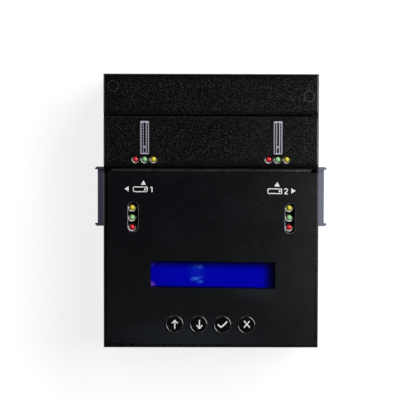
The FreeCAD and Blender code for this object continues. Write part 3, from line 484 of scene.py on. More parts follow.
@dataclass(frozen=True)
class PowderCoat(Finish):
    """Baked powder paint: an orange-peel skin with painted glints that stand in for its sparkle, fewer
    towards one corner.

    The stops lie past the case unless others are given, so a plain coat has no calm edges and no painted bend
    highlights.
    """

    peel_mm: float = 0.48
    peel_shown: Place = (0.56, 0.7)
    grit_mm: float = 0.4
    grit_shown: Place = (0.4, 0.55)
    grit_least: float = 0.3
    patch_mm: float = 20.4
    patch_shown: Place = (0.3, 0.55)
    patch_least: float = 0.7
    skin_mm: float = 0.1
    # Painted highlights: the glints stand in for the coat's sparkle, brighter towards the right and fewer
    # towards the left and near the calm front and back edges.
    glint: Rgb = (64, 63, 61)
    right_glint: Rgb = (76, 75, 74)
    right_glint_x: Place = (30.0, 68.0)
    keen: float = 0.8
    flat: float = 0.4
    calm: float = 0.1
    calm_y: Stops = (-301.0, -300.0, 300.0, 301.0)
    smooth: float = 0.25
    glint_fade_x: Place = (-70.0, -56.0)
    # Painted highlight of a bend that catches the light, broken into specks, with its own colour towards the
    # right.
    bend_highlight: Rgb = (78, 78, 80)
    bend_highlight_right: Rgb = (78, 78, 80)
    highlight_axis: Axis = Axis.X
    highlight_mm: Stops = (200.0, 201.0, 202.0, 203.0)
    highlight_grit: Place = (0.35, 0.65)
    highlight_grit_least: float = 0.4
    speck_mm: float = 3.4
    speck_shown: Place = (0.35, 0.6)
    speck_least: float = 0.35

    def pattern(self, sheet: NodeSheet) -> None:
        """Lay out the peel, the grit, the painted glints and a painted highlight strip that fades in and out
        along one axis.

        Args:
            sheet: The material's nodes.
        """
        peel = sheet.noise(self.peel_mm, detail=1.0)
        grit = sheet.noise(self.grit_mm)
        patch = sheet.noise(self.patch_mm)
        specks = sheet.noise(self.speck_mm, detail=3.0)
        across = sheet.axis(Axis.X)
        open_face = sheet.gate(sheet.axis(Axis.Y), self.calm_y)
        right = sheet.ramp(across, self.right_glint_x)
        share = sheet.product(sheet.span(peel, self.peel_shown, RISE),
                              sheet.span(grit, self.grit_shown, (self.grit_least, 1.0)),
                              sheet.span(patch, self.patch_shown, (self.patch_least, 1.0)),
                              sheet.span(open_face, RISE, (self.calm, 1.0)),
                              sheet.ramp(across, self.glint_fade_x, (self.smooth, 1.0)))
        # Painted glints, brighter towards the right.
        glint = sheet.blend(right, linear(self.glint), linear(self.right_glint))
        colour = sheet.blend(share, self.tint(sheet, patch), glint)
        # Painted highlight strip of a bend that catches the light.
        strip = sheet.product(sheet.gate(sheet.axis(self.highlight_axis), self.highlight_mm),
                              sheet.span(grit, self.highlight_grit, (self.highlight_grit_least, 1.0)),
                              sheet.span(specks, self.speck_shown, (self.speck_least, 1.0)))
        highlight_colour = sheet.blend(right, linear(self.bend_highlight), linear(self.bend_highlight_right))
        sheet.vary(sheet.blend(strip, colour, highlight_colour), "Base Color")
        even = sheet.product(sheet.span(right, RISE, (1.0, self.keen)),
                             sheet.span(open_face, RISE, (self.keen, 1.0)))
        rough = sheet.span(grit, NOISE_REACH, self.shine()[::-1])
        sheet.vary(sheet.product(rough, even), "Roughness")
        skin = sheet.sum(Op.ADD, peel, grit)
        depth = sheet.span(even, (self.keen, 1.0), (self.flat, 1.0))
        sheet.relief(sheet.product(skin, depth), self.strength, self.skin_mm)


@dataclass(frozen=True)
class PrintedFilm(Finish):
    """Satin plastic film with faint wiped smudges, a few specks of dust and a painted sheen that makes it
    paler towards the front.
    """

    # Painted sheen: the film is paler towards the front.
    front: Rgb = (9, 12, 15)
    front_sheen_y: Place = (-60.0, 0.0)
    smudge_mm: float = 16.0
    streak_mm: tuple[float, float, float] = (4.0, 1.6, 10.0)
    streak_turn: float = 24.0
    haze_shown: Place = (0.15, 0.4)
    dust: Rgb = (96, 98, 102)
    dust_mm: float = 7.0
    dust_reach: Place = (0.0, 0.035)
    dust_most: float = 0.8
    top: float = 0.0
    rim: Rgb = (84, 85, 88)
    rim_mm: Place = (-0.05, -0.01)
    wave_mm: float = 0.05
    # Paler patches on the film.
    pale_patch: Rgb = (25, 28, 33)
    pale_patches: tuple[Spot, ...] = ((-14.0, -85.5, 62.0, 18.0, 1.0), (29.6, -55.0, 26.0, 7.0, 0.7))

    def pattern(self, sheet: NodeSheet) -> None:
        """Lay out the smudges, the paler patches, the painted sheen towards the front, the dust, the paler
        cut rims and a waviness.

        Args:
            sheet: The material's nodes.
        """
        stretched = sheet.shift((0, 0, 0), [size * MM for size in self.streak_mm], self.streak_turn)
        streak = sheet.noise(UNIT_MM, detail=3.0, at=stretched)
        haze = sheet.product(sheet.noise(self.smudge_mm, detail=4.0), streak)
        wiped = self.tint(sheet, sheet.span(haze, self.haze_shown, RISE))
        # Painted sheen towards the front.
        colour = sheet.blend(sheet.ramp(sheet.axis(Axis.Y), self.front_sheen_y), linear(self.front), wiped)
        for x, y, long, wide, most in self.pale_patches:
            share = sheet.spot((x * MM, y * MM, self.top), (long, wide), most)
            colour = sheet.blend(share, colour, linear(self.pale_patch))
        cells = sheet.texture("ShaderNodeTexVoronoi", self.dust_mm).outputs["Distance"]
        speck = sheet.span(cells, self.dust_reach, (self.dust_most, 0.0))
        colour = sheet.blend(speck, colour, linear(self.dust))
        face = sheet.ramp(sheet.axis(Axis.Z), self.rim_mm, start=self.top)
        sheet.vary(sheet.blend(face, linear(self.rim), colour), "Base Color")
        sheet.vary(sheet.span(haze, self.haze_shown, self.shine()), "Roughness")
        sheet.relief(sheet.noise(self.grain_mm), self.strength, self.wave_mm)


@dataclass(frozen=True)
class SlottedPlastic(Finish):
    """Pale moulded plastic, darkened by painted shade inside its slots and windows, along its contact lanes
    and on its left flank.
    """

    middle: float = 0.0
    top: float = 0.0
    # Painted shade: below the top face, along the contact lanes and the slot's edge, round each window and on
    # the left flank. The lean shifts the shade of the lanes and the slot's edge to the right.
    shade: Rgb = (14, 14, 16)
    shade_mm: Place = (-0.2, -0.03)
    lane_shade: Rgb = (42, 43, 51)
    lane_x: float = 1.7
    lane_mm: Place = (0.25, 0.45)
    lane_end: Place = (0.7, 1.0)
    slot_x: float = 0.65
    lean: float = 0.0
    lean_fade: float = 0.1
    flank_shade: Rgb = (128, 127, 140)
    flank_shade_mm: Place = (-2.45, -2.1)
    windows: tuple[float, ...] = ()
    window_shade: Rgb = (2, 2, 5)
    window_mm: Place = (0.56, 0.68)
    window_wide_mm: Place = (0.48, 0.62)

    def pattern(self, sheet: NodeSheet) -> None:
        """Lay out the plastic and its painted shade: on its left flank, along its lanes of contact windows
        and the slot's edge, round the windows and below its top face.

        Args:
            sheet: The material's nodes.
        """
        super().pattern(sheet)
        along, across = sheet.axis(Axis.Y), sheet.axis(Axis.X, sheet.shift((self.middle, 0, 0)))
        # Painted shade on the left flank.
        colour = sheet.blend(sheet.ramp(across, self.flank_shade_mm, FALL), sheet.colour(), linear(self.flank_shade))
        aside = sheet.sum(Op.SIZE, sheet.sum(Op.TAKE, across, self.lean * MM))
        first, last = min(self.windows), max(self.windows)
        reach = tuple((last - first) / 2 / MM + more for more in self.lane_end)
        half = self.lean / 2
        # Painted shade along the slot's edge and the contact lanes.
        edge = sheet.band(across, (self.slot_x + half) * MM, (half, half + self.lean_fade))
        lane_shade = sheet.sum(Op.MOST, sheet.band(aside, self.lane_x * MM, self.lane_mm), edge)
        lane_shade = sheet.product(lane_shade, sheet.band(along, (first + last) / 2, reach))
        colour = sheet.blend(lane_shade, colour, linear(self.lane_shade))
        wide = sheet.band(aside, self.lane_x * MM, self.window_wide_mm)
        # Painted shade round each contact window.
        for y in self.windows:
            mark = sheet.product(wide, sheet.band(along, y, self.window_mm))
            colour = sheet.blend(mark, colour, linear(self.window_shade))
        # Painted shade below the top face.
        lit = sheet.ramp(sheet.axis(Axis.Z), self.shade_mm, start=self.top)
        sheet.vary(sheet.blend(lit, linear(self.shade), colour), "Base Color")


@dataclass(frozen=True)
class SunkPlastic(Finish):
    """Moulded plastic of a part that sticks out of a wall, darkened behind it by painted shade."""

    wall: float = 0.0
    # Painted shade behind the wall.
    hidden_shade: Rgb = (5, 5, 7)
    hidden_shade_mm: Place = (0.2, 0.8)

    def pattern(self, sheet: NodeSheet) -> None:
        """Lay out the plastic and the painted shade behind the wall.

        Args:
            sheet: The material's nodes.
        """
        super().pattern(sheet)
        aside = sheet.sum(Op.SIZE, sheet.axis(Axis.X))
        clear = sheet.ramp(aside, self.hidden_shade_mm, start=self.wall)
        sheet.vary(sheet.blend(clear, linear(self.hidden_shade), sheet.colour()), "Base Color")


@dataclass(frozen=True)
class DishedCollar(Finish):
    """Pale plastic of the lamps' collars, with a painted shadow where the sheet stands over the back of each
    dish.
    """

    rows: tuple[float, ...] = ()
    painted_shadow: float = 0.04
    painted_shadow_mm: Place = (-0.1, 1.1)
    next_mm: Place = (3.0, 3.2)

    def pattern(self, sheet: NodeSheet) -> None:
        """Lay out the plastic and the painted shadow over its back halves, row by row.

        Args:
            sheet: The material's nodes.
        """
        super().pattern(sheet)
        colour = sheet.colour()
        along = sheet.axis(Axis.Y)
        for row in self.rows:
            front = sheet.ramp(along, self.painted_shadow_mm, (1.0, self.painted_shadow), row)
            past = sheet.ramp(along, self.next_mm, start=row)
            colour = sheet.blend(sheet.sum(Op.MOST, front, past), BLACK, colour)
        sheet.vary(colour, "Base Color")


@dataclass(frozen=True)
class LampLens(Finish):
    """Tinted cloudy resin of a lamp, paler towards its crown and darkened at its root by painted shade."""

    glow: float = 0.1
    gloss: float = 0.2
    gloss_roughness: float = 0.15
    crown: Rgb = (255, 255, 255)
    crown_mm: Place = (39.2, 40.3)
    crown_most: float = 0.45
    # Painted shade at the lens's root.
    root_shade_mm: Place = (38.75, 39.2)
    root_shade: float = 0.16

    def pattern(self, sheet: NodeSheet) -> None:
        """Lay out the tint, the cloud, the painted shade at the root and the small glow of a lit lens.

        Args:
            sheet: The material's nodes.
        """
        cloud = sheet.noise(self.grain_mm)
        level = sheet.axis(Axis.Z)
        up = sheet.ramp(level, self.crown_mm, (0.0, self.crown_most))
        colour = sheet.blend(up, self.tint(sheet, cloud), linear(self.crown))
        colour = sheet.blend(sheet.ramp(level, self.root_shade_mm, (self.root_shade, 1.0)), BLACK, colour)
        sheet.vary(colour, "Base Color", "Emission Color")
        sheet.vary(sheet.span(cloud, NOISE_REACH, self.shine()), "Roughness")
        sheet.constant(Emission_Strength=self.glow, Coat_Weight=self.gloss,
                       Coat_Roughness=self.gloss_roughness)


@dataclass(frozen=True)
class BlueDisplay(Finish):
    """Lit blue display glass with pale marks and darker, purple-tinged ends, darkened by a painted shadow of
    the window's edges.
    """

    centre: tuple[float, float, float] = (0.0, 0.0, 0.0)
    half: Place = (41.9, 8.9)
    glow: float = 0.3
    cloud: float = 20.0
    # Pale marks on the glass.
    pale_mark: Rgb = (44, 100, 196)
    pale_marks: tuple[Spot, ...] = (
        (-10.5, 2.0, 9.0, 10.0, 0.07), (-10.5, 5.8, 5.2, 2.4, 0.2), (-8.0, 5.2, 2.6, 1.8, 0.7),
        (-11.6, -2.8, 4.6, 2.0, 0.8), (-8.2, -4.8, 3.0, 1.5, 0.6), (-7.6, -1.6, 2.4, 1.3, 0.3))
    tilt: float = 8.0
    blur_mm: float = 1.8
    blur_shown: Place = (0.3, 0.65)
    blur_least: float = 0.4
    corner: Rgb = (104, 60, 170)
    corners: tuple[Stops, ...] = ((-41.6, -7.6, 4.4, 1.0), (-41.0, 8.2, 3.6, 0.4))
    # Colour and slant of the painted shadow of the window's edges, and for each edge where it starts and ends
    # and how much light is left.
    dark: Rgb = (1, 1, 8)
    slope: float = 0.015
    painted_edge_shadows: tuple[tuple[Edge, float, float, float], ...] = (
        (Edge.RIGHT, 8.8, 3.5, 0.14), (Edge.RIGHT, 3.5, 0.3, 0.3), (Edge.BACK, 5.6, 0.1, 0.04),
        (Edge.FRONT, 1.5, 0.3, 0.1), (Edge.LEFT, 1.0, 0.2, 0.1))

    def pattern(self, sheet: NodeSheet) -> None:
        """Lay out the even blue, its edges darkened by a painted shadow and the pale marks.

        Args:
            sheet: The material's nodes.
        """
        colour = self.tint(sheet, sheet.noise(self.grain_mm * self.cloud, detail=3.0))
        blur = sheet.span(sheet.noise(self.blur_mm, detail=4.0), self.blur_shown, (self.blur_least, 1.0))
        for x, y, long, wide, most in self.pale_marks:
            share = sheet.spot(self.place(x, y), (long, wide), most, self.tilt)
            colour = sheet.blend(sheet.product(share, blur), colour, linear(self.pale_mark))
        for x, y, reach, most in self.corners:
            share = sheet.spot(self.place(x, y), (reach, reach), most)
            colour = sheet.blend(share, colour, linear(self.corner))
        shown = sheet.blend(self.painted_edge_shadow(sheet), linear(self.dark), colour)
        sheet.vary(shown, "Base Color", "Emission Color")
        sheet.vary(sheet.span(blur, NOISE_REACH, self.shine()), "Roughness")
        sheet.constant(Emission_Strength=self.glow)

    def painted_edge_shadow(self, sheet: NodeSheet) -> Socket:
        """How much of the light shows, falling towards the edges of the glass under a painted shadow of the
        window's edges.

        Args:
            sheet: The material's nodes.

        Returns:
            The share.
        """
        local = sheet.shift(self.centre, (MM, MM, MM))
        across = sheet.axis(Axis.X, local)
        slant = sheet.sum(Op.ADD, sheet.axis(Axis.Y, local), sheet.sum(Op.TIMES, across, self.slope))
        parts = []
        for edge, start, end, least in self.painted_edge_shadows:
            axis, hand = edge.value
            reach, ends = (self.half[axis] - start, self.half[axis] - end), (1.0, least)
            if hand < 0:
                reach, ends = (-reach[1], -reach[0]), ends[::-1]
            parts.append(sheet.span((across, slant)[axis], reach, ends))
        return sheet.product(*parts)

    def place(self, x: float, y: float) -> tuple[float, float, float]:
        """A place on the glass, from its distances in millimetres from the middle."""
        return (self.centre[0] + x * MM, self.centre[1] + y * MM, self.centre[2])


@dataclass(frozen=True)
class BoardLacquer(Finish):
    """Lacquered board with paler copper tracks showing through."""

    track: Rgb = (18, 50, 34)
    track_mm: float = 9.6
    track_line: float = 0.03
    track_rise_mm: float = 0.04
    stagger: float = 0.37
    cloud: float = 10.0

    def pattern(self, sheet: NodeSheet) -> None:
        """Lay out the lacquer and its tracks.

        Args:
            sheet: The material's nodes.
        """
        made = sheet.texture("ShaderNodeTexBrick", self.track_mm, offset=self.stagger)
        made.inputs["Mortar Size"].default_value = self.track_line
        tracks = made.outputs["Fac"]
        lacquer = self.tint(sheet, sheet.noise(self.grain_mm * self.cloud))
        sheet.vary(sheet.blend(tracks, lacquer, linear(self.track)), "Base Color")
        sheet.vary(sheet.span(sheet.noise(self.grain_mm), NOISE_REACH, self.shine()), "Roughness")
        sheet.relief(tracks, self.strength, self.track_rise_mm)


COAT = PowderCoat("coat_black_look", (4, 4, 4), 0.24, specular=0.3, spread=0.05, strength=0.5, variation=0.3)
FILM = PrintedFilm("film_black_look", (1, 3, 7), 0.28, spread=0.03, strength=0.015, grain_mm=6.0)
RUBBER = Finish("foot_rubber_look", (26, 26, 27), 0.78, grain_mm=0.5, strength=0.25)
ZINC = Finish("zinc_steel_look", (176, 178, 176), 0.34, metallic=1.0, grain_mm=0.4, variation=0.15)
SCREW = Finish("screw_black_look", (30, 30, 32), 0.36, metallic=0.6, grain_mm=0.25)
BARE_RIM = Finish("bare_rim_look", (104, 102, 100), 0.4, metallic=0.8, grain_mm=0.8, variation=0.6)
BOARD = BoardLacquer("board_green_look", (7, 28, 18), 0.34, strength=0.3)
CHIP = Finish("chip_black_look", (28, 28, 30), 0.55, grain_mm=0.2, strength=0.2)
SINK = Finish("sink_aluminium_look", (150, 152, 156), 0.42, metallic=1.0, grain_mm=0.5)
DRIVE = SunkPlastic("drive_slate_look", (106, 109, 126), 0.46, grain_mm=0.35, variation=0.1, strength=0.14)
GOLD = Finish("contact_gold_look", (214, 172, 92), 0.28, metallic=1.0, grain_mm=0.2)
CARD = SlottedPlastic("card_grey_look", (180, 179, 192), 0.5, grain_mm=0.3, variation=0.06)
# Near-black card contacts: painted shade inside the contact windows.
TAIL = Finish("card_tail_look", (12, 12, 13), 0.6, specular=0.2, grain_mm=0.2)
RED = LampLens("lens_red_look", (192, 10, 28), 0.4, specular=0.3, variation=0.1, gloss=0.5,
               crown=(214, 44, 66))
GREEN = LampLens("lens_green_look", (132, 188, 124), 0.5, specular=0.2, variation=0.06, crown=(160, 208, 150))
YELLOW = LampLens("lens_yellow_look", (198, 186, 44), 0.5, specular=0.2, variation=0.06, crown=(212, 202, 84))
COLLAR = DishedCollar("collar_white_look", (236, 233, 228), 0.4, specular=0.2, grain_mm=0.3, variation=0.05)
DIFFUSER = Finish("diffuser_white_look", (222, 226, 232), 0.5, variation=0.05)
BLUE = BlueDisplay("display_blue_look", (1, 1, 146), 0.16, specular=0.12, spread=0.04, variation=0.06)
FRAME_BLACK = Finish("frame_black_look", (20, 20, 21), 0.42, metallic=0.4, grain_mm=0.3)
FOAM = Finish("gasket_foam_look", (20, 20, 21), 0.9, grain_mm=0.4, strength=0.5)
SWITCH = Finish("switch_black_look", (18, 18, 19), 0.42, grain_mm=0.3)
KEY = Finish("key_black_look", (5, 5, 6), 0.14, grain_mm=0.8, spread=0.03, strength=0.03)
KEY_RIM = Finish("key_rim_look", (22, 22, 23), 0.2, specular=0.9, grain_mm=0.8, spread=0.03, strength=0.02)
PLUNGER = Finish("plunger_grey_look", (120, 122, 124), 0.5)
CHROME = Finish("pin_chrome_look", (206, 208, 210), 0.18, metallic=1.0, grain_mm=0.2, variation=0.06)
LEAD = Finish("lead_red_look", (168, 26, 24), 0.45, grain_mm=0.4)
SLEEVE = Finish("sleeve_blue_look", (34, 44, 84), 0.4, grain_mm=0.4)
CORE = Finish("core_grey_look", (66, 66, 68), 0.6, grain_mm=0.4, strength=0.3)
CABLE = Finish("cable_white_look", (214, 214, 208), 0.45, grain_mm=0.4, variation=0.05)
# Near-black power cable: painted shade in the seam it is seen through.
CABLE_DARK = Finish("cable_dark_look", (14, 14, 15), 0.5, specular=0.3, grain_mm=0.4)
INK = Finish("ink_white_look", (226, 227, 229), 0.5, grain_mm=0.25, variation=0.05, strength=0.05)


def start_clean() -> None:
    """Leave edit mode and deselect everything."""
    object_mode()
    bpy.ops.object.select_all(action="DESELECT")


def object_mode() -> None:
    """Leave edit mode, if it is on."""
    if bpy.context.mode != "OBJECT":
        bpy.ops.object.mode_set(mode="OBJECT")


def edit_all() -> None:
    """Enter edit mode with the whole active piece selected."""
    bpy.ops.object.mode_set(mode="EDIT")
    bpy.ops.mesh.select_all(action="SELECT")


def activate(piece: Piece) -> None:
    """Select one piece alone and make it active.

    Args:
        piece: The piece.
    """
    start_clean()
    piece.select_set(True)
    bpy.context.view_layer.objects.active = piece


def select_only(piece: Piece, kind: Part, chosen: Sequence[bool]) -> None:
    """Enter edit mode with only the chosen parts of one kind selected.

    Args:
        piece: The piece, which is the active object and out of edit mode.
        kind: The kind of part.
        chosen: Whether each part of that kind is selected.
    """
    bpy.context.tool_settings.mesh_select_mode = [part is kind for part in Part]
    for part in Part:
        row = getattr(piece.data, part.value)
        row.foreach_set("select", chosen if part is kind else [False] * len(row))
    bpy.ops.object.mode_set(mode="EDIT")


def select_faces(piece: Piece, test: Callable[[Vector, Vector], bool]) -> None:
    """Enter edit mode with the faces selected whose centre and normal pass a test."""
    object_mode()
    select_only(piece, Part.FACES, [test(f.center, f.normal) for f in piece.data.polygons])


def select_edges(piece: Piece, test: Callable[[Vector, Vector], bool]) -> None:
    """Enter edit mode with the edges selected whose two ends pass a test.

    Args:
        piece: The piece, which is the active object.
        test: Tells from an edge's two ends whether it is selected.
    """
    object_mode()
    ends = [[piece.data.vertices[i].co for i in e.vertices] for e in piece.data.edges]
    select_only(piece, Part.EDGES, [test(a, b) for a, b in ends])


def settle(piece: Piece) -> Piece:
    """Put a piece's place, turn and size into its mesh.

    Args:
        piece: The piece.

    Returns:
        The same piece, at the origin and unturned.
    """
    activate(piece)
    bpy.ops.object.transform_apply(location=True, rotation=True, scale=True)
    return piece


def lay(piece: Piece, place: Sequence[float], turn: float = 0.0) -> Piece:
    """Put a piece that lies about the origin at its place.

    Args:
        piece: The piece.
        place: Where its origin goes.
        turn: Turn about the upright, in degrees.

    Returns:
        The same piece.
    """
    piece.location = place
    piece.rotation_euler = (0, 0, math.radians(turn))
    return settle(piece)


def block(size: Sequence[float], middle: Sequence[float]) -> Piece:
    """A block to shape further.

    Args:
        size: Its lengths along the axes.
        middle: Its middle.

    Returns:
        The block.
    """
    start_clean()
    bpy.ops.mesh.primitive_cube_add(size=1.0, location=middle)
    bpy.context.active_object.scale = size
    return settle(bpy.context.active_object)


def plate(size: Place, middle: Place, turn: float = 0.0) -> Piece:
    """A flat plate on the ground to shape further.

    Args:
        size: Its length and width.
        middle: Its middle.
        turn: Turn about the upright, in degrees.

    Returns:
        The plate.
    """
    start_clean()
    bpy.ops.mesh.primitive_plane_add(size=1.0)
    bpy.context.active_object.scale = (*size, 1)
    return lay(bpy.context.active_object, (*middle, 0), turn)


def disc(corners: int, radius: float, x: float = 0.0) -> Piece:
    """A flat disc on the ground to shape further.

    Args:
        corners: Number of its corners.
        radius: Distance of the corners from the middle.
        x: Its place along X.

    Returns:
        The disc.
    """
    start_clean()
    bpy.ops.mesh.primitive_circle_add(vertices=corners, radius=radius, fill_type="NGON", location=(x, 0, 0))
    return settle(bpy.context.active_object)


def raise_sheet(height: float) -> None:
    """Push the whole flat shape in edit mode up to a closed plate.

    Args:
        height: Thickness of the plate.
    """
    bpy.ops.mesh.select_all(action="SELECT")
    bpy.ops.mesh.extrude_region_move(TRANSFORM_OT_translate={"value": (0, 0, height)})
    bpy.ops.mesh.select_all(action="SELECT")
    bpy.ops.mesh.normals_make_consistent(inside=False)
    object_mode()


def raise_ring(piece: Piece, widths: Sequence[float], height: float) -> Piece:
    """Open the middle of a flat piece and push what is left up to a closed ring.

    Args:
        piece: The piece, which is the active object.
        widths: Widths of the ring's bands, from outside.
        height: Thickness of the ring.

    Returns:
        The same piece.
    """
    select_faces(piece, lambda centre, normal: True)
    for width in widths:
        bpy.ops.mesh.inset(thickness=width, depth=0)
    bpy.ops.mesh.delete(type="FACE")
    raise_sheet(height)
    return piece


def boolean(piece: Piece, other: Piece, cut: Cut) -> None:
    """Unite or cut a piece with another, which is used up.

    Args:
        piece: The piece that stays.
        other: The piece that goes.
        cut: What is done.
    """
    activate(piece)
    tool = piece.modifiers.new("shape", "BOOLEAN")
    tool.operation = cut.value
    tool.object = other
    tool.solver = "EXACT"
    bpy.ops.object.modifier_apply(modifier=tool.name)
    bpy.data.objects.remove(other)


def join(pieces: Sequence[Piece]) -> Piece:
    """Join pieces into one object.

    Args:
        pieces: What is joined.

    Returns:
        The joined piece.
    """
    activate(pieces[0])
    for piece in pieces:
        piece.select_set(True)
    bpy.ops.object.join()
    return pieces[0]


def stroke(start: Place, end: Place, width: float, height: float) -> Piece:
    """A straight printed stroke with rounded corners, lying on the ground.

    Args:
        start: Middle of one end.
        end: Middle of the other end.
        width: Width of the stroke.
        height: Thickness of the ink.

    Returns:
        The stroke.
    """
    run = Vector(end) - Vector(start)
    middle = (Vector(start) + Vector(end)) / 2
    piece = plate((run.length, width), middle, math.degrees(math.atan2(run.y, run.x)))
    edit_all()
    bpy.ops.mesh.bevel(offset=width * STROKE_ROUND, segments=3, affect="VERTICES")
    raise_sheet(height)
    return piece


def strokes(lines: Sequence[tuple[Place, Place]], width: float, height: float) -> Piece:
    """A sign made of united strokes.

    Args:
        lines: Both ends of each stroke.
        width: Width of the strokes.
        height: Thickness of the ink.

    Returns:
        The sign, lying about the origin.
    """
    made = [stroke(start, end, width, height) for start, end in lines]
    for other in made[1:]:
        boolean(made[0], other, Cut.UNITE)
    return made[0]


def smooth(piece: Piece, angle: float = 35.0) -> None:
    """Shade a piece smoothly where its faces meet at less than an angle in degrees."""
    activate(piece)
    bpy.ops.object.shade_smooth_by_angle(angle=math.radians(angle))


@dataclass
class SubAssembly:
    """A group of solids and added pieces that belong together."""

    made: list[Piece] = field(default_factory=list, init=False)

    def build(self) -> None:
        """Model the added pieces; a group with none has nothing to do."""

    def dress(self) -> None:
        """Give the group's solids their finishes."""

    def coat(self, piece: Piece, finish: Finish) -> None:
        """Give a piece one finish all over."""
        piece.data.materials.clear()
        piece.data.materials.append(finish.material())

    def paint(self, finish: Finish, *names: str) -> None:
        """Give named solids a finish."""
        for name in names:
            self.coat(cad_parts[name], finish)

    def add(self, piece: Piece, name: str, body: Body, finish: Finish, slot: str) -> Piece:
        """Name, dress and mount a finished piece.

        Args:
            piece: The piece, in place.
            name: Its name.
            body: The body it rides on.
            finish: Its finish.
            slot: The record's material slot of that finish, which is not used.

        Returns:
            The same piece.
        """
        piece.name = name
        piece.data.name = name
        self.coat(piece, finish)
        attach(piece, body.value)
        self.made.append(piece)
        return piece


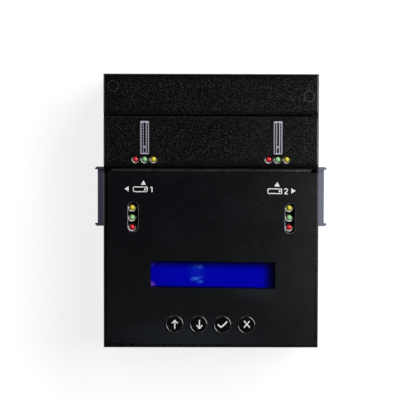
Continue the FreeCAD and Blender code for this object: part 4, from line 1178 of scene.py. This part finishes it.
@dataclass
class Case(SubAssembly):
    """Tray, covers, feet, cover screws and clinch heads."""

    head_radius: float = 2.6 * MM
    head_height: float = 1.8 * MM
    head_round: float = 0.85 * MM
    head_profile: float = 0.55
    shank_radius: float = 1.5 * MM
    shank_length: float = 5.0 * MM
    recess_length: float = 2.9 * MM
    recess_width: float = 0.62 * MM
    recess_depth: float = 1.0 * MM
    recess_taper: float = 0.6
    rim_width: float = 0.2 * MM
    rim_height: float = 0.015 * MM
    screw_gap: float = 2.6
    tab_reach: float = 2.7 * MM
    tab_inset: float = 0.05 * MM
    tab_clear: float = 0.01 * MM
    tab_low: float = 28.0 * MM
    tab_high: float = 37.3 * MM
    tab_round: float = 0.12 * MM
    beyond: Place = (1.0, 2.0)
    # Painted highlights where the bends catch the light: stops about the right edges, and stops and colours
    # of the strip by the front cover's back edge.
    highlight_edge: Stops = (-1.4, -1.0, 1.0, 2.0)
    highlight_strip: Stops = (-2.3, -1.9, -1.4, -0.8)
    strip_highlight: Rgb = (58, 58, 60)
    strip_highlight_right: Rgb = (100, 100, 104)
    front_specular: float = 0.16
    rear_calm: Place = (3.5, 5.0)
    slot_calm: float = 4.5

    def build(self) -> None:
        """Model the cross-headed screws, the bare rims of the clinch heads and the tabs in the seams."""
        piece = self.add(self.screws(), "screw_heads", Body.CHASSIS, SCREW, "screw_black")
        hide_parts("cover_screws")
        rims = [self.rim(*head) for head in self.clinch_heads()]
        self.add(join(rims), "clinch_rims", Body.CHASSIS, BARE_RIM, "zinc_steel")
        tabs = [self.tab(first, second, hand) for hand in (1, -1)
                for first, second in (("front_cover", "slot_cover"), ("slot_cover", "rear_cover"))]
        self.add(join(tabs), "seam_tabs", Body.CHASSIS, COAT, "coat_black")

    def tab(self, first: str, second: str, hand: int) -> Piece:
        """A tab that closes the open corner of a seam between two covers.

        Args:
            first: The cover in front of the seam.
            second: The cover behind it.
            hand: 1 at the right side, -1 at the left side.

        Returns:
            The tab.
        """
        near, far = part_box(first)[1].y + self.tab_clear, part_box(second)[0].y - self.tab_clear
        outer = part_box(first)[1].x - self.tab_inset
        middle = ((outer - self.tab_reach / 2) * hand, (near + far) / 2, (self.tab_low + self.tab_high) / 2)
        piece = block((self.tab_reach, far - near, self.tab_high - self.tab_low), middle)
        upper = self.tab_high - TOLERANCE
        select_edges(piece, lambda a, b: min(a.z, b.z) > upper and abs(a.y - b.y) > TOLERANCE)
        bpy.ops.mesh.bevel(offset=self.tab_round, segments=2, affect="EDGES")
        object_mode()
        return piece

    def screws(self) -> Piece:
        """All cover screws, copied from one.

        Returns:
            The screws.
        """
        low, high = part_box("cover_screws")
        pattern = self.screw(high.x - self.head_height)
        made = []
        for y in rows_of("cover_screws", self.screw_gap):
            for hand in (1, -1):
                copy = pattern.copy()
                copy.data = pattern.data.copy()
                bpy.context.scene.collection.objects.link(copy)
                copy.rotation_euler = (0, math.radians(90 * hand), 0)
                copy.location = (0, y, (low.z + high.z) / 2)
                made.append(settle(copy))
        bpy.data.objects.remove(pattern)
        piece = join(made)
        smooth(piece)
        return piece

    def screw(self, seat: float) -> Piece:
        """One screw along +Z, with its head on a seat above the origin.

        Args:
            seat: Height of the underside of the head.

        Returns:
            The screw.
        """
        start_clean()
        crown = seat + self.head_height
        bpy.ops.mesh.primitive_cylinder_add(vertices=32, radius=self.head_radius, depth=self.head_height,
                                            location=(0, 0, seat + self.head_height / 2))
        head = settle(bpy.context.active_object)
        select_edges(head, lambda a, b: min(a.z, b.z) > crown - TOLERANCE)
        bpy.ops.mesh.bevel(offset=self.head_round, segments=5, profile=self.head_profile, affect="EDGES")
        select_faces(head, lambda centre, normal: normal.z < -FACING)
        bpy.ops.mesh.inset(thickness=self.head_radius - self.shank_radius, depth=0)
        bpy.ops.mesh.extrude_region_move(TRANSFORM_OT_translate={"value": (0, 0, -self.shank_length)})
        object_mode()
        for size in ((self.recess_length, self.recess_width), (self.recess_width, self.recess_length)):
            boolean(head, self.recess(size, crown), Cut.TAKE_OUT)
        return head

    def recess(self, size: Place, crown: float) -> Piece:
        """One arm of the cross recess, narrowing downwards.

        Args:
            size: Length along X and Y.
            crown: Top of the head.

        Returns:
            The cutter.
        """
        cutter = block((*size, 2 * self.recess_depth), (0, 0, crown))
        select_faces(cutter, lambda centre, normal: normal.z < -FACING)
        bpy.ops.transform.resize(value=(self.recess_taper, self.recess_taper, 1.0))
        object_mode()
        return cutter

    def clinch_heads(self) -> list[Stops]:
        """Places of the clinch heads, read from their solids' top faces.

        Returns:
            For each head its X, Y, corner radius and turn in degrees.
        """
        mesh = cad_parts["clinch_standoffs"].data
        top = max(v.co.z for v in mesh.vertices)
        corners = [v.co for v in mesh.vertices if v.co.z > top - TOLERANCE]
        heads = []
        for hand in (-1, 1):
            own = [c for c in corners if c.x * hand > 0]
            middle = (max(c.x for c in own) + min(c.x for c in own)) / 2
            along = (max(c.y for c in own) + min(c.y for c in own)) / 2
            far = max(own, key=lambda c: c.y)
            corner = math.hypot(far.x - middle, far.y - along)
            heads.append((middle, along, corner, math.degrees(math.atan2(middle - far.x, far.y - along))))
        return heads

    def rim(self, x: float, y: float, corner: float, turn: float) -> Piece:
        """The bare, worn rim of a clinch head with a corner radius and a turn in degrees."""
        ring = raise_ring(disc(corners=6, radius=corner), (self.rim_width,), self.rim_height)
        return lay(ring, (x, y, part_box("clinch_standoffs")[1].z), turn)

    def dress(self) -> None:
        """Give the case its powder paint, with painted highlights along its right and front bends, rubber and
        plated steel.
        """
        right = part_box("slot_cover")[1].x / MM
        edges = tuple(right + off for off in self.highlight_edge)
        front, back = (corner.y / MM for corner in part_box("rear_cover"))
        calm = (front, front + self.rear_calm[0], back - self.rear_calm[1], back)
        self.paint(replace(COAT, name="coat_rear_look", highlight_mm=edges, calm_y=calm), "rear_cover")
        front, back = (corner.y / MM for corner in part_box("slot_cover"))
        calm = (front, front + self.slot_calm, *(back + off for off in self.beyond))
        even = tuple(-right - off for off in self.beyond[::-1])
        slot = replace(COAT, name="coat_slot_look", highlight_mm=edges, glint_fade_x=even, calm_y=calm)
        self.paint(slot, "slot_cover")
        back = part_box("front_cover")[1].y / MM
        strip = tuple(back + off for off in self.highlight_strip)
        front = replace(COAT, name="coat_front_look", specular=self.front_specular, highlight_axis=Axis.Y,
                        highlight_mm=strip, bend_highlight=self.strip_highlight, bend_highlight_right=self.strip_highlight_right)
        self.paint(front, "front_cover")
        self.paint(RUBBER, "rubber_feet")
        self.paint(SCREW, "cover_screws")
        self.paint(COAT, "base_tray", "clinch_standoffs")


@dataclass
class FrontPanel(SubAssembly):
    """Printed film with arrowheads and channel numbers."""

    skew: float = -0.6
    ink: float = 0.02 * MM
    heads: tuple[tuple[str, float, float, float, float, Way], ...] = (
        ("left_card_arrow", -45.15, 110.81, 3.45, 3.0, Way.BACK),
        ("left_drive_arrow", -56.45, 106.61, 3.65, 2.85, Way.LEFT),
        ("right_card_arrow", 44.1, 109.86, 3.65, 3.05, Way.BACK),
        ("right_drive_arrow", 55.05, 105.41, 3.45, 3.0, Way.RIGHT))
    head_corner: float = 0.12 * MM
    numbers: tuple[tuple[str, float, float], ...] = (
        ("left_channel", -45.2, 106.3),
        ("right_channel", 44.6, 105.2))
    digits: tuple[tuple[Place, ...], ...] = (
        ((-0.95, 1.05), (0.2, 1.75), (0.2, -1.75)),
        ((-1.15, 1.0), (-0.7, 1.65), (0.1, 1.8), (0.85, 1.45), (1.0, 0.75), (0.65, 0.1), (-1.1, -1.7),
         (1.2, -1.7)))
    digit_line: float = 0.7 * MM
    digit_x: float = 5.5 * MM
    drive_x: float = -2.1 * MM
    drive_size: Place = (9.8 * MM, 3.7 * MM)
    drive_line: float = 0.6 * MM
    drive_corner: float = 0.8 * MM
    hub_radius: float = 0.66 * MM
    hub_x: float = 3.2 * MM

    def build(self) -> None:
        """Print the arrowheads, and a drive sign with its number at each side."""
        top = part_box("panel_overlay")[1].z
        for name, x, y, width, length, way in self.heads:
            head = self.arrowhead(width * MM, length * MM)
            lay(head, (x * MM, from_front(y), top), way.value + self.skew)
            self.add(head, name, Body.CHASSIS, INK, "collar_white")
        for (name, x, y), digit in zip(self.numbers, self.digits):
            sign = join([self.outline(), self.hub(), self.digit(digit)])
            lay(sign, (x * MM, from_front(y), top), self.skew)
            self.add(sign, name, Body.CHASSIS, INK, "collar_white")

    def arrowhead(self, width: float, length: float) -> Piece:
        """A printed triangle that points to the back, its middle at the origin.

        Args:
            width: Across the arrowhead.
            length: From its base to its tip.

        Returns:
            The arrowhead.
        """
        piece = disc(corners=3, radius=1.0)
        piece.scale = (width / TRIANGLE[0], length / TRIANGLE[1], 1)
        lay(piece, (0, -TRIANGLE_MIDDLE * length / TRIANGLE[1], 0))
        edit_all()
        bpy.ops.mesh.bevel(offset=self.head_corner, segments=2, affect="VERTICES")
        raise_sheet(self.ink)
        return piece

    def outline(self) -> Piece:
        """Outline of a drive, to the left of the number.

        Returns:
            The outline.
        """
        piece = plate(self.drive_size, (self.drive_x, 0))
        edit_all()
        bpy.ops.mesh.bevel(offset=self.drive_corner, segments=4, affect="VERTICES")
        return raise_ring(piece, (self.drive_line,), self.ink)

    def hub(self) -> Piece:
        """Hub of the drive, in the outline's right end.

        Returns:
            The hub.
        """
        piece = disc(corners=20, radius=self.hub_radius, x=self.drive_x + self.hub_x)
        edit_all()
        raise_sheet(self.ink)
        return piece

    def digit(self, bends: Sequence[Place]) -> Piece:
        """A number along a line with bends in millimetres, to the right of the drive sign."""
        points = [(self.digit_x + x * MM, y * MM) for x, y in bends]
        return strokes(list(zip(points, points[1:])), self.digit_line, self.ink)

    def dress(self) -> None:
        """Give the film its satin print."""
        self.paint(replace(FILM, top=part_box("panel_overlay")[1].z), "panel_overlay")


@dataclass
class Keys(SubAssembly):
    """Button caps with their printed signs, plungers and switches."""

    ink: float = 0.02 * MM
    signs_off: tuple[Place, ...] = ((0.2, 0.0), (0.6, 0.0), (0.0, 0.0), (0.35, 0.45))
    stroke_width: float = 0.8 * MM
    arrow_length: float = 6.1 * MM
    arrow_width: float = 4.4 * MM
    barb_slope: float = 1.15
    barb_inset: float = 0.3
    barb_past: float = 0.2 * MM
    nib_inset: float = 0.55
    tick_lines: tuple[tuple[Place, Place], ...] = (
        ((-3.1, 0.1), (-0.75, -1.9)), ((-1.05, -1.95), (3.2, 2.1)))
    tick_bold: float = 1.2
    cross_half: Place = (1.935 * MM, 2.25 * MM)
    rim_out: float = 0.1 * MM
    rim_slope: float = 0.24 * MM
    rim_crest: float = 0.02 * MM
    rim_foot: float = 0.3 * MM
    rim_height: float = 0.13 * MM
    rim_angle: float = 15.0

    def build(self) -> None:
        """Print an arrow up, an arrow down, a tick and a cross on the caps, and rim the caps."""
        signs = (("up", Body.UP, self.arrow(1)), ("down", Body.DOWN, self.arrow(-1)),
                 ("confirm", Body.CONFIRM, self.tick()), ("cancel", Body.CANCEL, self.cross()))
        for (name, body, sign), off in zip(signs, self.signs_off):
            low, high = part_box(f"{name}_button")
            x, y = (low.x + high.x) / 2, (low.y + high.y) / 2
            lay(sign, (x + off[0] * MM, y + off[1] * MM, high.z))
            self.add(sign, f"{name}_sign", body, INK, "collar_white")
            corners = [v.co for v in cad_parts[f"{name}_button"].data.vertices]
            edge = max(math.hypot(c.x - x, c.y - y) for c in corners if c.z > high.z - self.rim_foot)
            rim = lay(self.rim(edge + self.rim_out), (x, y, high.z - self.rim_foot))
            self.add(rim, f"{name}_rim", body, KEY_RIM, "key_black")

    def rim(self, radius: float) -> Piece:
        """A fine raised rim with a slope to each side.

        Args:
            radius: Outer radius.

        Returns:
            The rim, standing on the ground about the origin.
        """
        bands = (self.rim_slope, self.rim_crest, self.rim_slope)
        piece = raise_ring(disc(corners=96, radius=radius), bands, self.rim_foot)
        ridge = radius - self.rim_slope - self.rim_crest / 2
        reach = self.rim_slope / 3
        select_faces(piece, lambda centre, normal: (normal.z > FACING
                                                    and abs(centre.xy.length - ridge) < reach))
        bpy.ops.transform.translate(value=(0, 0, self.rim_height))
        smooth(piece, self.rim_angle)
        return piece

    def arrow(self, way: int) -> Piece:
        """An arrow to the back or to the front.

        Args:
            way: 1 to the back, -1 to the front.

        Returns:
            The arrow.
        """
        tip = way * self.arrow_length / 2
        inset = self.stroke_width * self.barb_inset
        reach = self.arrow_width / 2 - inset
        barb = tip - way * (reach * self.barb_slope + inset)
        nib = tip - way * self.stroke_width * self.nib_inset
        lines = [((0.0, -tip), (0.0, nib))]
        for hand in (-1, 1):
            lines.append(((hand * reach, barb), (-hand * self.barb_past, nib + way * self.barb_past)))
        return strokes(lines, self.stroke_width, self.ink)

    def tick(self) -> Piece:
        """A tick, wider than it is high."""
        lines = [[(x * MM, y * MM) for x, y in line] for line in self.tick_lines]
        return strokes(lines, self.stroke_width * self.tick_bold, self.ink)

    def cross(self) -> Piece:
        """A cross of two equal strokes."""
        x, y = self.cross_half
        return strokes([((-x, -y), (x, y)), ((-x, y), (x, -y))], self.stroke_width, self.ink)

    def dress(self) -> None:
        """Give the caps their gloss and the switches their plastic."""
        for key in ("up", "down", "confirm", "cancel"):
            self.paint(KEY, f"{key}_button")
            self.paint(PLUNGER, f"{key}_plunger")
        self.paint(SWITCH, "button_switches")


@dataclass
class Lamps(SubAssembly):
    """Coloured lamps in their pale collars."""

    row_gap: float = 1.0

    def dress(self) -> None:
        """Give the lamps their tints and the collars their white, with a painted shadow over the back of each
        dish.
        """
        self.paint(RED, "red_leds")
        self.paint(GREEN, "green_leds")
        self.paint(YELLOW, "yellow_leds")
        self.paint(replace(COLLAR, rows=tuple(rows_of("led_collars", self.row_gap))), "led_collars")


@dataclass
class Display(SubAssembly):
    """Display module behind the film's window."""

    def dress(self) -> None:
        """Give the display its lit glass with a painted edge shadow, black frame and foam."""
        low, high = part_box("display_glass")
        middle = (low + high) / 2
        self.paint(replace(BLUE, centre=(middle.x, middle.y, high.z)), "display_glass")
        self.paint(DIFFUSER, "display_backlight")
        self.paint(FRAME_BLACK, "display_frame")
        self.paint(FOAM, "display_gasket")
        self.paint(ZINC, "display_standoffs")


@dataclass
class Sockets(SubAssembly):
    """Drive sockets at the sides and card sockets in the slot cover."""

    # Painted light: the left drive socket, in the case's shadow, gets a lighter copy of the drive plastic.
    left_lightened_colour: Rgb = (118, 119, 144)
    window_gap: float = 0.6
    key_window: int = 1
    key_step: float = 1.65 * MM
    # How far the painted shade of the lanes and the slot's edge sits right of each card socket's middle.
    leans: tuple[tuple[str, float], ...] = (("left_card_socket", 0.3), ("right_card_socket", 0.12))

    def dress(self) -> None:
        """Give the sockets their moulded plastic with its painted shade, a lighter copy as painted light for
        the left drive socket, plated drive contacts and near-black card contacts as painted shade.
        """
        right = replace(DRIVE, wall=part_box("front_cover")[1].x)
        self.paint(right, "right_drive_socket")
        self.paint(replace(right, name="drive_left_lightened_look", colour=self.left_lightened_colour), "left_drive_socket")
        self.paint(GOLD, "drive_contacts")
        windows = rows_of("card_contacts", self.window_gap)
        windows.append(windows[self.key_window] + self.key_step)
        for socket, lean in self.leans:
            low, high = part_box(socket)
            look = replace(CARD, name=f"{socket}_look", middle=(low.x + high.x) / 2, top=high.z,
                           windows=tuple(windows), lean=lean)
            self.paint(look, socket)
        # Painted shade: the card contacts are near-black.
        self.paint(TAIL, "card_contacts")


@dataclass
class PowerInlet(SubAssembly):
    """Jack, rocker switch and what feeds them."""

    ink: float = 0.02 * MM
    mark_height: float = 3.6 * MM
    mark_width: float = 0.75 * MM
    face_back: float = 0.85
    face_level: float = 0.01

    def build(self) -> None:
        """Print the on and off signs on the two faces of the rocker."""
        signs = (("rocker_on_sign", self.bar()), ("rocker_off_sign", self.ring()))
        for (name, sign), (centre, normal) in zip(signs, self.rocker_faces()):
            turn = normal.to_track_quat("Z", "Y").to_matrix().to_4x4()
            sign.matrix_world = Matrix.Translation(centre) @ turn
            settle(sign)
            self.add(sign, name, Body.ROCKER, INK, "collar_white")

    def rocker_faces(self) -> list[tuple[Vector, Vector]]:
        """The rocker's two outer faces, read from its solid.

        Returns:
            Centre and normal of the right and of the left face.
        """
        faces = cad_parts["power_rocker"].data.polygons
        outer = [f for f in faces if f.normal.y > self.face_back and abs(f.normal.z) < self.face_level]
        middle = sum((f.center.x for f in outer), 0.0) / len(outer)
        found = []
        for hand in (1, -1):
            own = [f for f in outer if (f.center.x - middle) * hand > 0]
            area = sum(f.area for f in own)
            centre = sum((f.center * f.area for f in own), Vector()) / area
            found.append((centre, max(own, key=lambda f: f.area).normal.copy()))
        return found

    def bar(self) -> Piece:
        """The sign for on: an upright bar."""
        half = self.mark_height / 2
        return strokes([((0.0, -half), (0.0, half))], self.mark_width, self.ink)

    def ring(self) -> Piece:
        """The sign for off: a ring."""
        outer = disc(corners=32, radius=self.mark_height / 2)
        return raise_ring(outer, (self.mark_width,), self.ink)

    def dress(self) -> None:
        """Give the jack, the switch and their leads their finishes."""
        self.paint(SWITCH, "dc_jack", "switch_housing", "power_rocker")
        self.paint(CHROME, "dc_jack_pin")
        self.paint(ZINC, "switch_terminals")
        self.paint(LEAD, "switch_leads")
        self.paint(SLEEVE, "power_capacitors")
        self.paint(CORE, "power_inductor")


@dataclass
class Boards(SubAssembly):
    """Boards inside the case with their chips, fixings and flat cables."""

    def dress(self) -> None:
        """Give the boards their lacquer and what is on them their finishes."""
        self.paint(BOARD, "main_board", "slot_board", "side_led_boards", "display_board",
                   "button_board", "power_board")
        self.paint(ZINC, "main_board_standoffs", "hung_standoffs", "board_screws")
        self.paint(CHIP, "controller_chip", "bridge_chips", "buzzer")
        self.paint(SINK, "heat_sink")
        self.paint(CABLE, "display_cable", "button_cable", "slot_cables", "side_led_cables", "cable_sockets")
        # Painted shade: the power cable is near-black.
        self.paint(CABLE_DARK, "power_cable")


@dataclass(frozen=True)
class Paper:
    """Pale matt paper that looks white to the camera and in reflections."""

    name: str
    shade: float
    glow: float
    fleck: float = 0.99
    grain_mm: float = 3.0
    roughness: float = 0.9

    def material(self) -> bpy.types.Material:
        """Make the material, which glows for the camera, reflections and transmission.

        Returns:
            The material.
        """
        sheet = NodeSheet(self.name)
        dull, clean = ((tone, tone, tone, 1.0) for tone in (self.shade * self.fleck, self.shade))
        sheet.vary(sheet.blend(sheet.noise(self.grain_mm), dull, clean), "Base Color")
        sheet.constant(Roughness=self.roughness, Specular_IOR_Level=0.0, Emission_Color=WHITE)
        path = sheet.node("ShaderNodeLightPath").outputs
        seen = sheet.sum(Op.MOST, path["Is Camera Ray"], path["Is Glossy Ray"])
        seen = sheet.sum(Op.MOST, seen, path["Is Transmission Ray"])
        sheet.vary(sheet.sum(Op.TIMES, seen, self.glow), "Emission Strength")
        return sheet.material


@dataclass(frozen=True)
class SoftLight:
    """A soft light that faces the object: degrees from the right and above the floor, metres and watts."""

    name: str
    azimuth: float
    elevation: float
    distance: float
    size: Place
    power: float

    def hang(self) -> None:
        """Hang the light."""
        data = bpy.data.lights.new(self.name, "AREA")
        data.shape = "RECTANGLE"
        data.size, data.size_y = self.size
        data.energy = self.power
        lamp = bpy.data.objects.new(self.name, data)
        bpy.context.scene.collection.objects.link(lamp)
        a, e = math.radians(self.azimuth), math.radians(self.elevation)
        way = Vector((math.cos(e) * math.cos(a), math.cos(e) * math.sin(a), math.sin(e)))
        lamp.location = way * self.distance
        lamp.rotation_euler = way.to_track_quat("Z", "Y").to_euler()


@dataclass
class Studio:
    """Pale floor and ring wall, soft lights and the camera above the object."""

    floor_size: float = 9.0
    floor_paper: Paper = Paper("floor_paper", 0.32, 0.79)
    wall_radius: float = 3.2
    wall_height: float = 1.1
    wall_paper: Paper = Paper("wall_paper", 0.7, 0.8)
    lens: float = 89.6
    sensor: float = 36.0
    clip_start: float = 0.01
    camera_x: float = -5.234 * MM
    camera_from_front: float = 115.766
    camera_height: float = 0.738478
    camera_turn: tuple[float, float, float] = (-1.9045, -0.3647, 0.1265)
    world: float = 0.05
    lights: tuple[SoftLight, ...] = (
        SoftLight("key_light", 29.0, 33.0, 1.3, (1.55, 0.55), 25.0),
        SoftLight("side_light", 0.0, 58.0, 0.6, (0.3, 0.3), 0.65),
        SoftLight("back_light", 122.0, 33.0, 1.3, (0.35, 0.45), 1.5),
        SoftLight("fill_light", 170.0, 18.0, 1.3, (1.8, 0.6), 5.6))

    def build(self) -> None:
        """Set up the floor, the wall, the lights, the world and the camera."""
        self.floor()
        self.wall()
        for light in self.lights:
            light.hang()
        self.ambient()
        self.camera()

    def floor(self) -> None:
        """Lay the floor."""
        start_clean()
        bpy.ops.mesh.primitive_plane_add(size=self.floor_size)
        floor = bpy.context.active_object
        floor.name = "studio_floor"
        floor.data.materials.append(self.floor_paper.material())

    def wall(self) -> None:
        """Stand the ring wall on the floor, open at its top."""
        start_clean()
        bpy.ops.mesh.primitive_cylinder_add(vertices=96, radius=self.wall_radius, depth=self.wall_height,
                                            end_fill_type="NOTHING",
                                            location=(0, 0, self.wall_height / 2))
        wall = settle(bpy.context.active_object)
        edit_all()
        bpy.ops.mesh.flip_normals()
        object_mode()
        bpy.ops.object.shade_smooth()
        wall.name = "studio_wall"
        wall.data.materials.append(self.wall_paper.material())

    def ambient(self) -> None:
        """Fill the shadows with a little even light."""
        world = bpy.data.worlds.new("studio_world")
        world.use_nodes = True
        back = world.node_tree.nodes["Background"]
        back.inputs["Color"].default_value = WHITE
        back.inputs["Strength"].default_value = self.world
        bpy.context.scene.world = world

    def camera(self) -> None:
        """Set the camera straight above the object, leaning as in the photograph."""
        data = bpy.data.cameras.new("camera")
        data.lens = self.lens
        data.sensor_width = self.sensor
        data.clip_start = self.clip_start
        data.dof.use_dof = False
        camera = bpy.data.objects.new("camera", data)
        bpy.context.scene.collection.objects.link(camera)
        camera.location = (self.camera_x, from_front(self.camera_from_front), self.camera_height)
        camera.rotation_euler = [math.radians(turn) for turn in self.camera_turn]
        bpy.context.scene.camera = camera
        bpy.context.scene.view_settings.view_transform = "Standard"


def main() -> None:
    """Build and dress each group in order, then set up the studio."""
    logging.basicConfig(level=logging.INFO, format="%(name)s: %(message)s")
    for group in (Case(), FrontPanel(), Keys(), Lamps(), Display(), Sockets(), PowerInlet(), Boards()):
        group.build()
        group.dress()
        for piece in group.made:
            LOG.info("%s: %s, %d faces", type(group).__name__, piece.name, len(piece.data.polygons))
    Studio().build()
    start_clean()


if __name__ == "__main__":
    main()
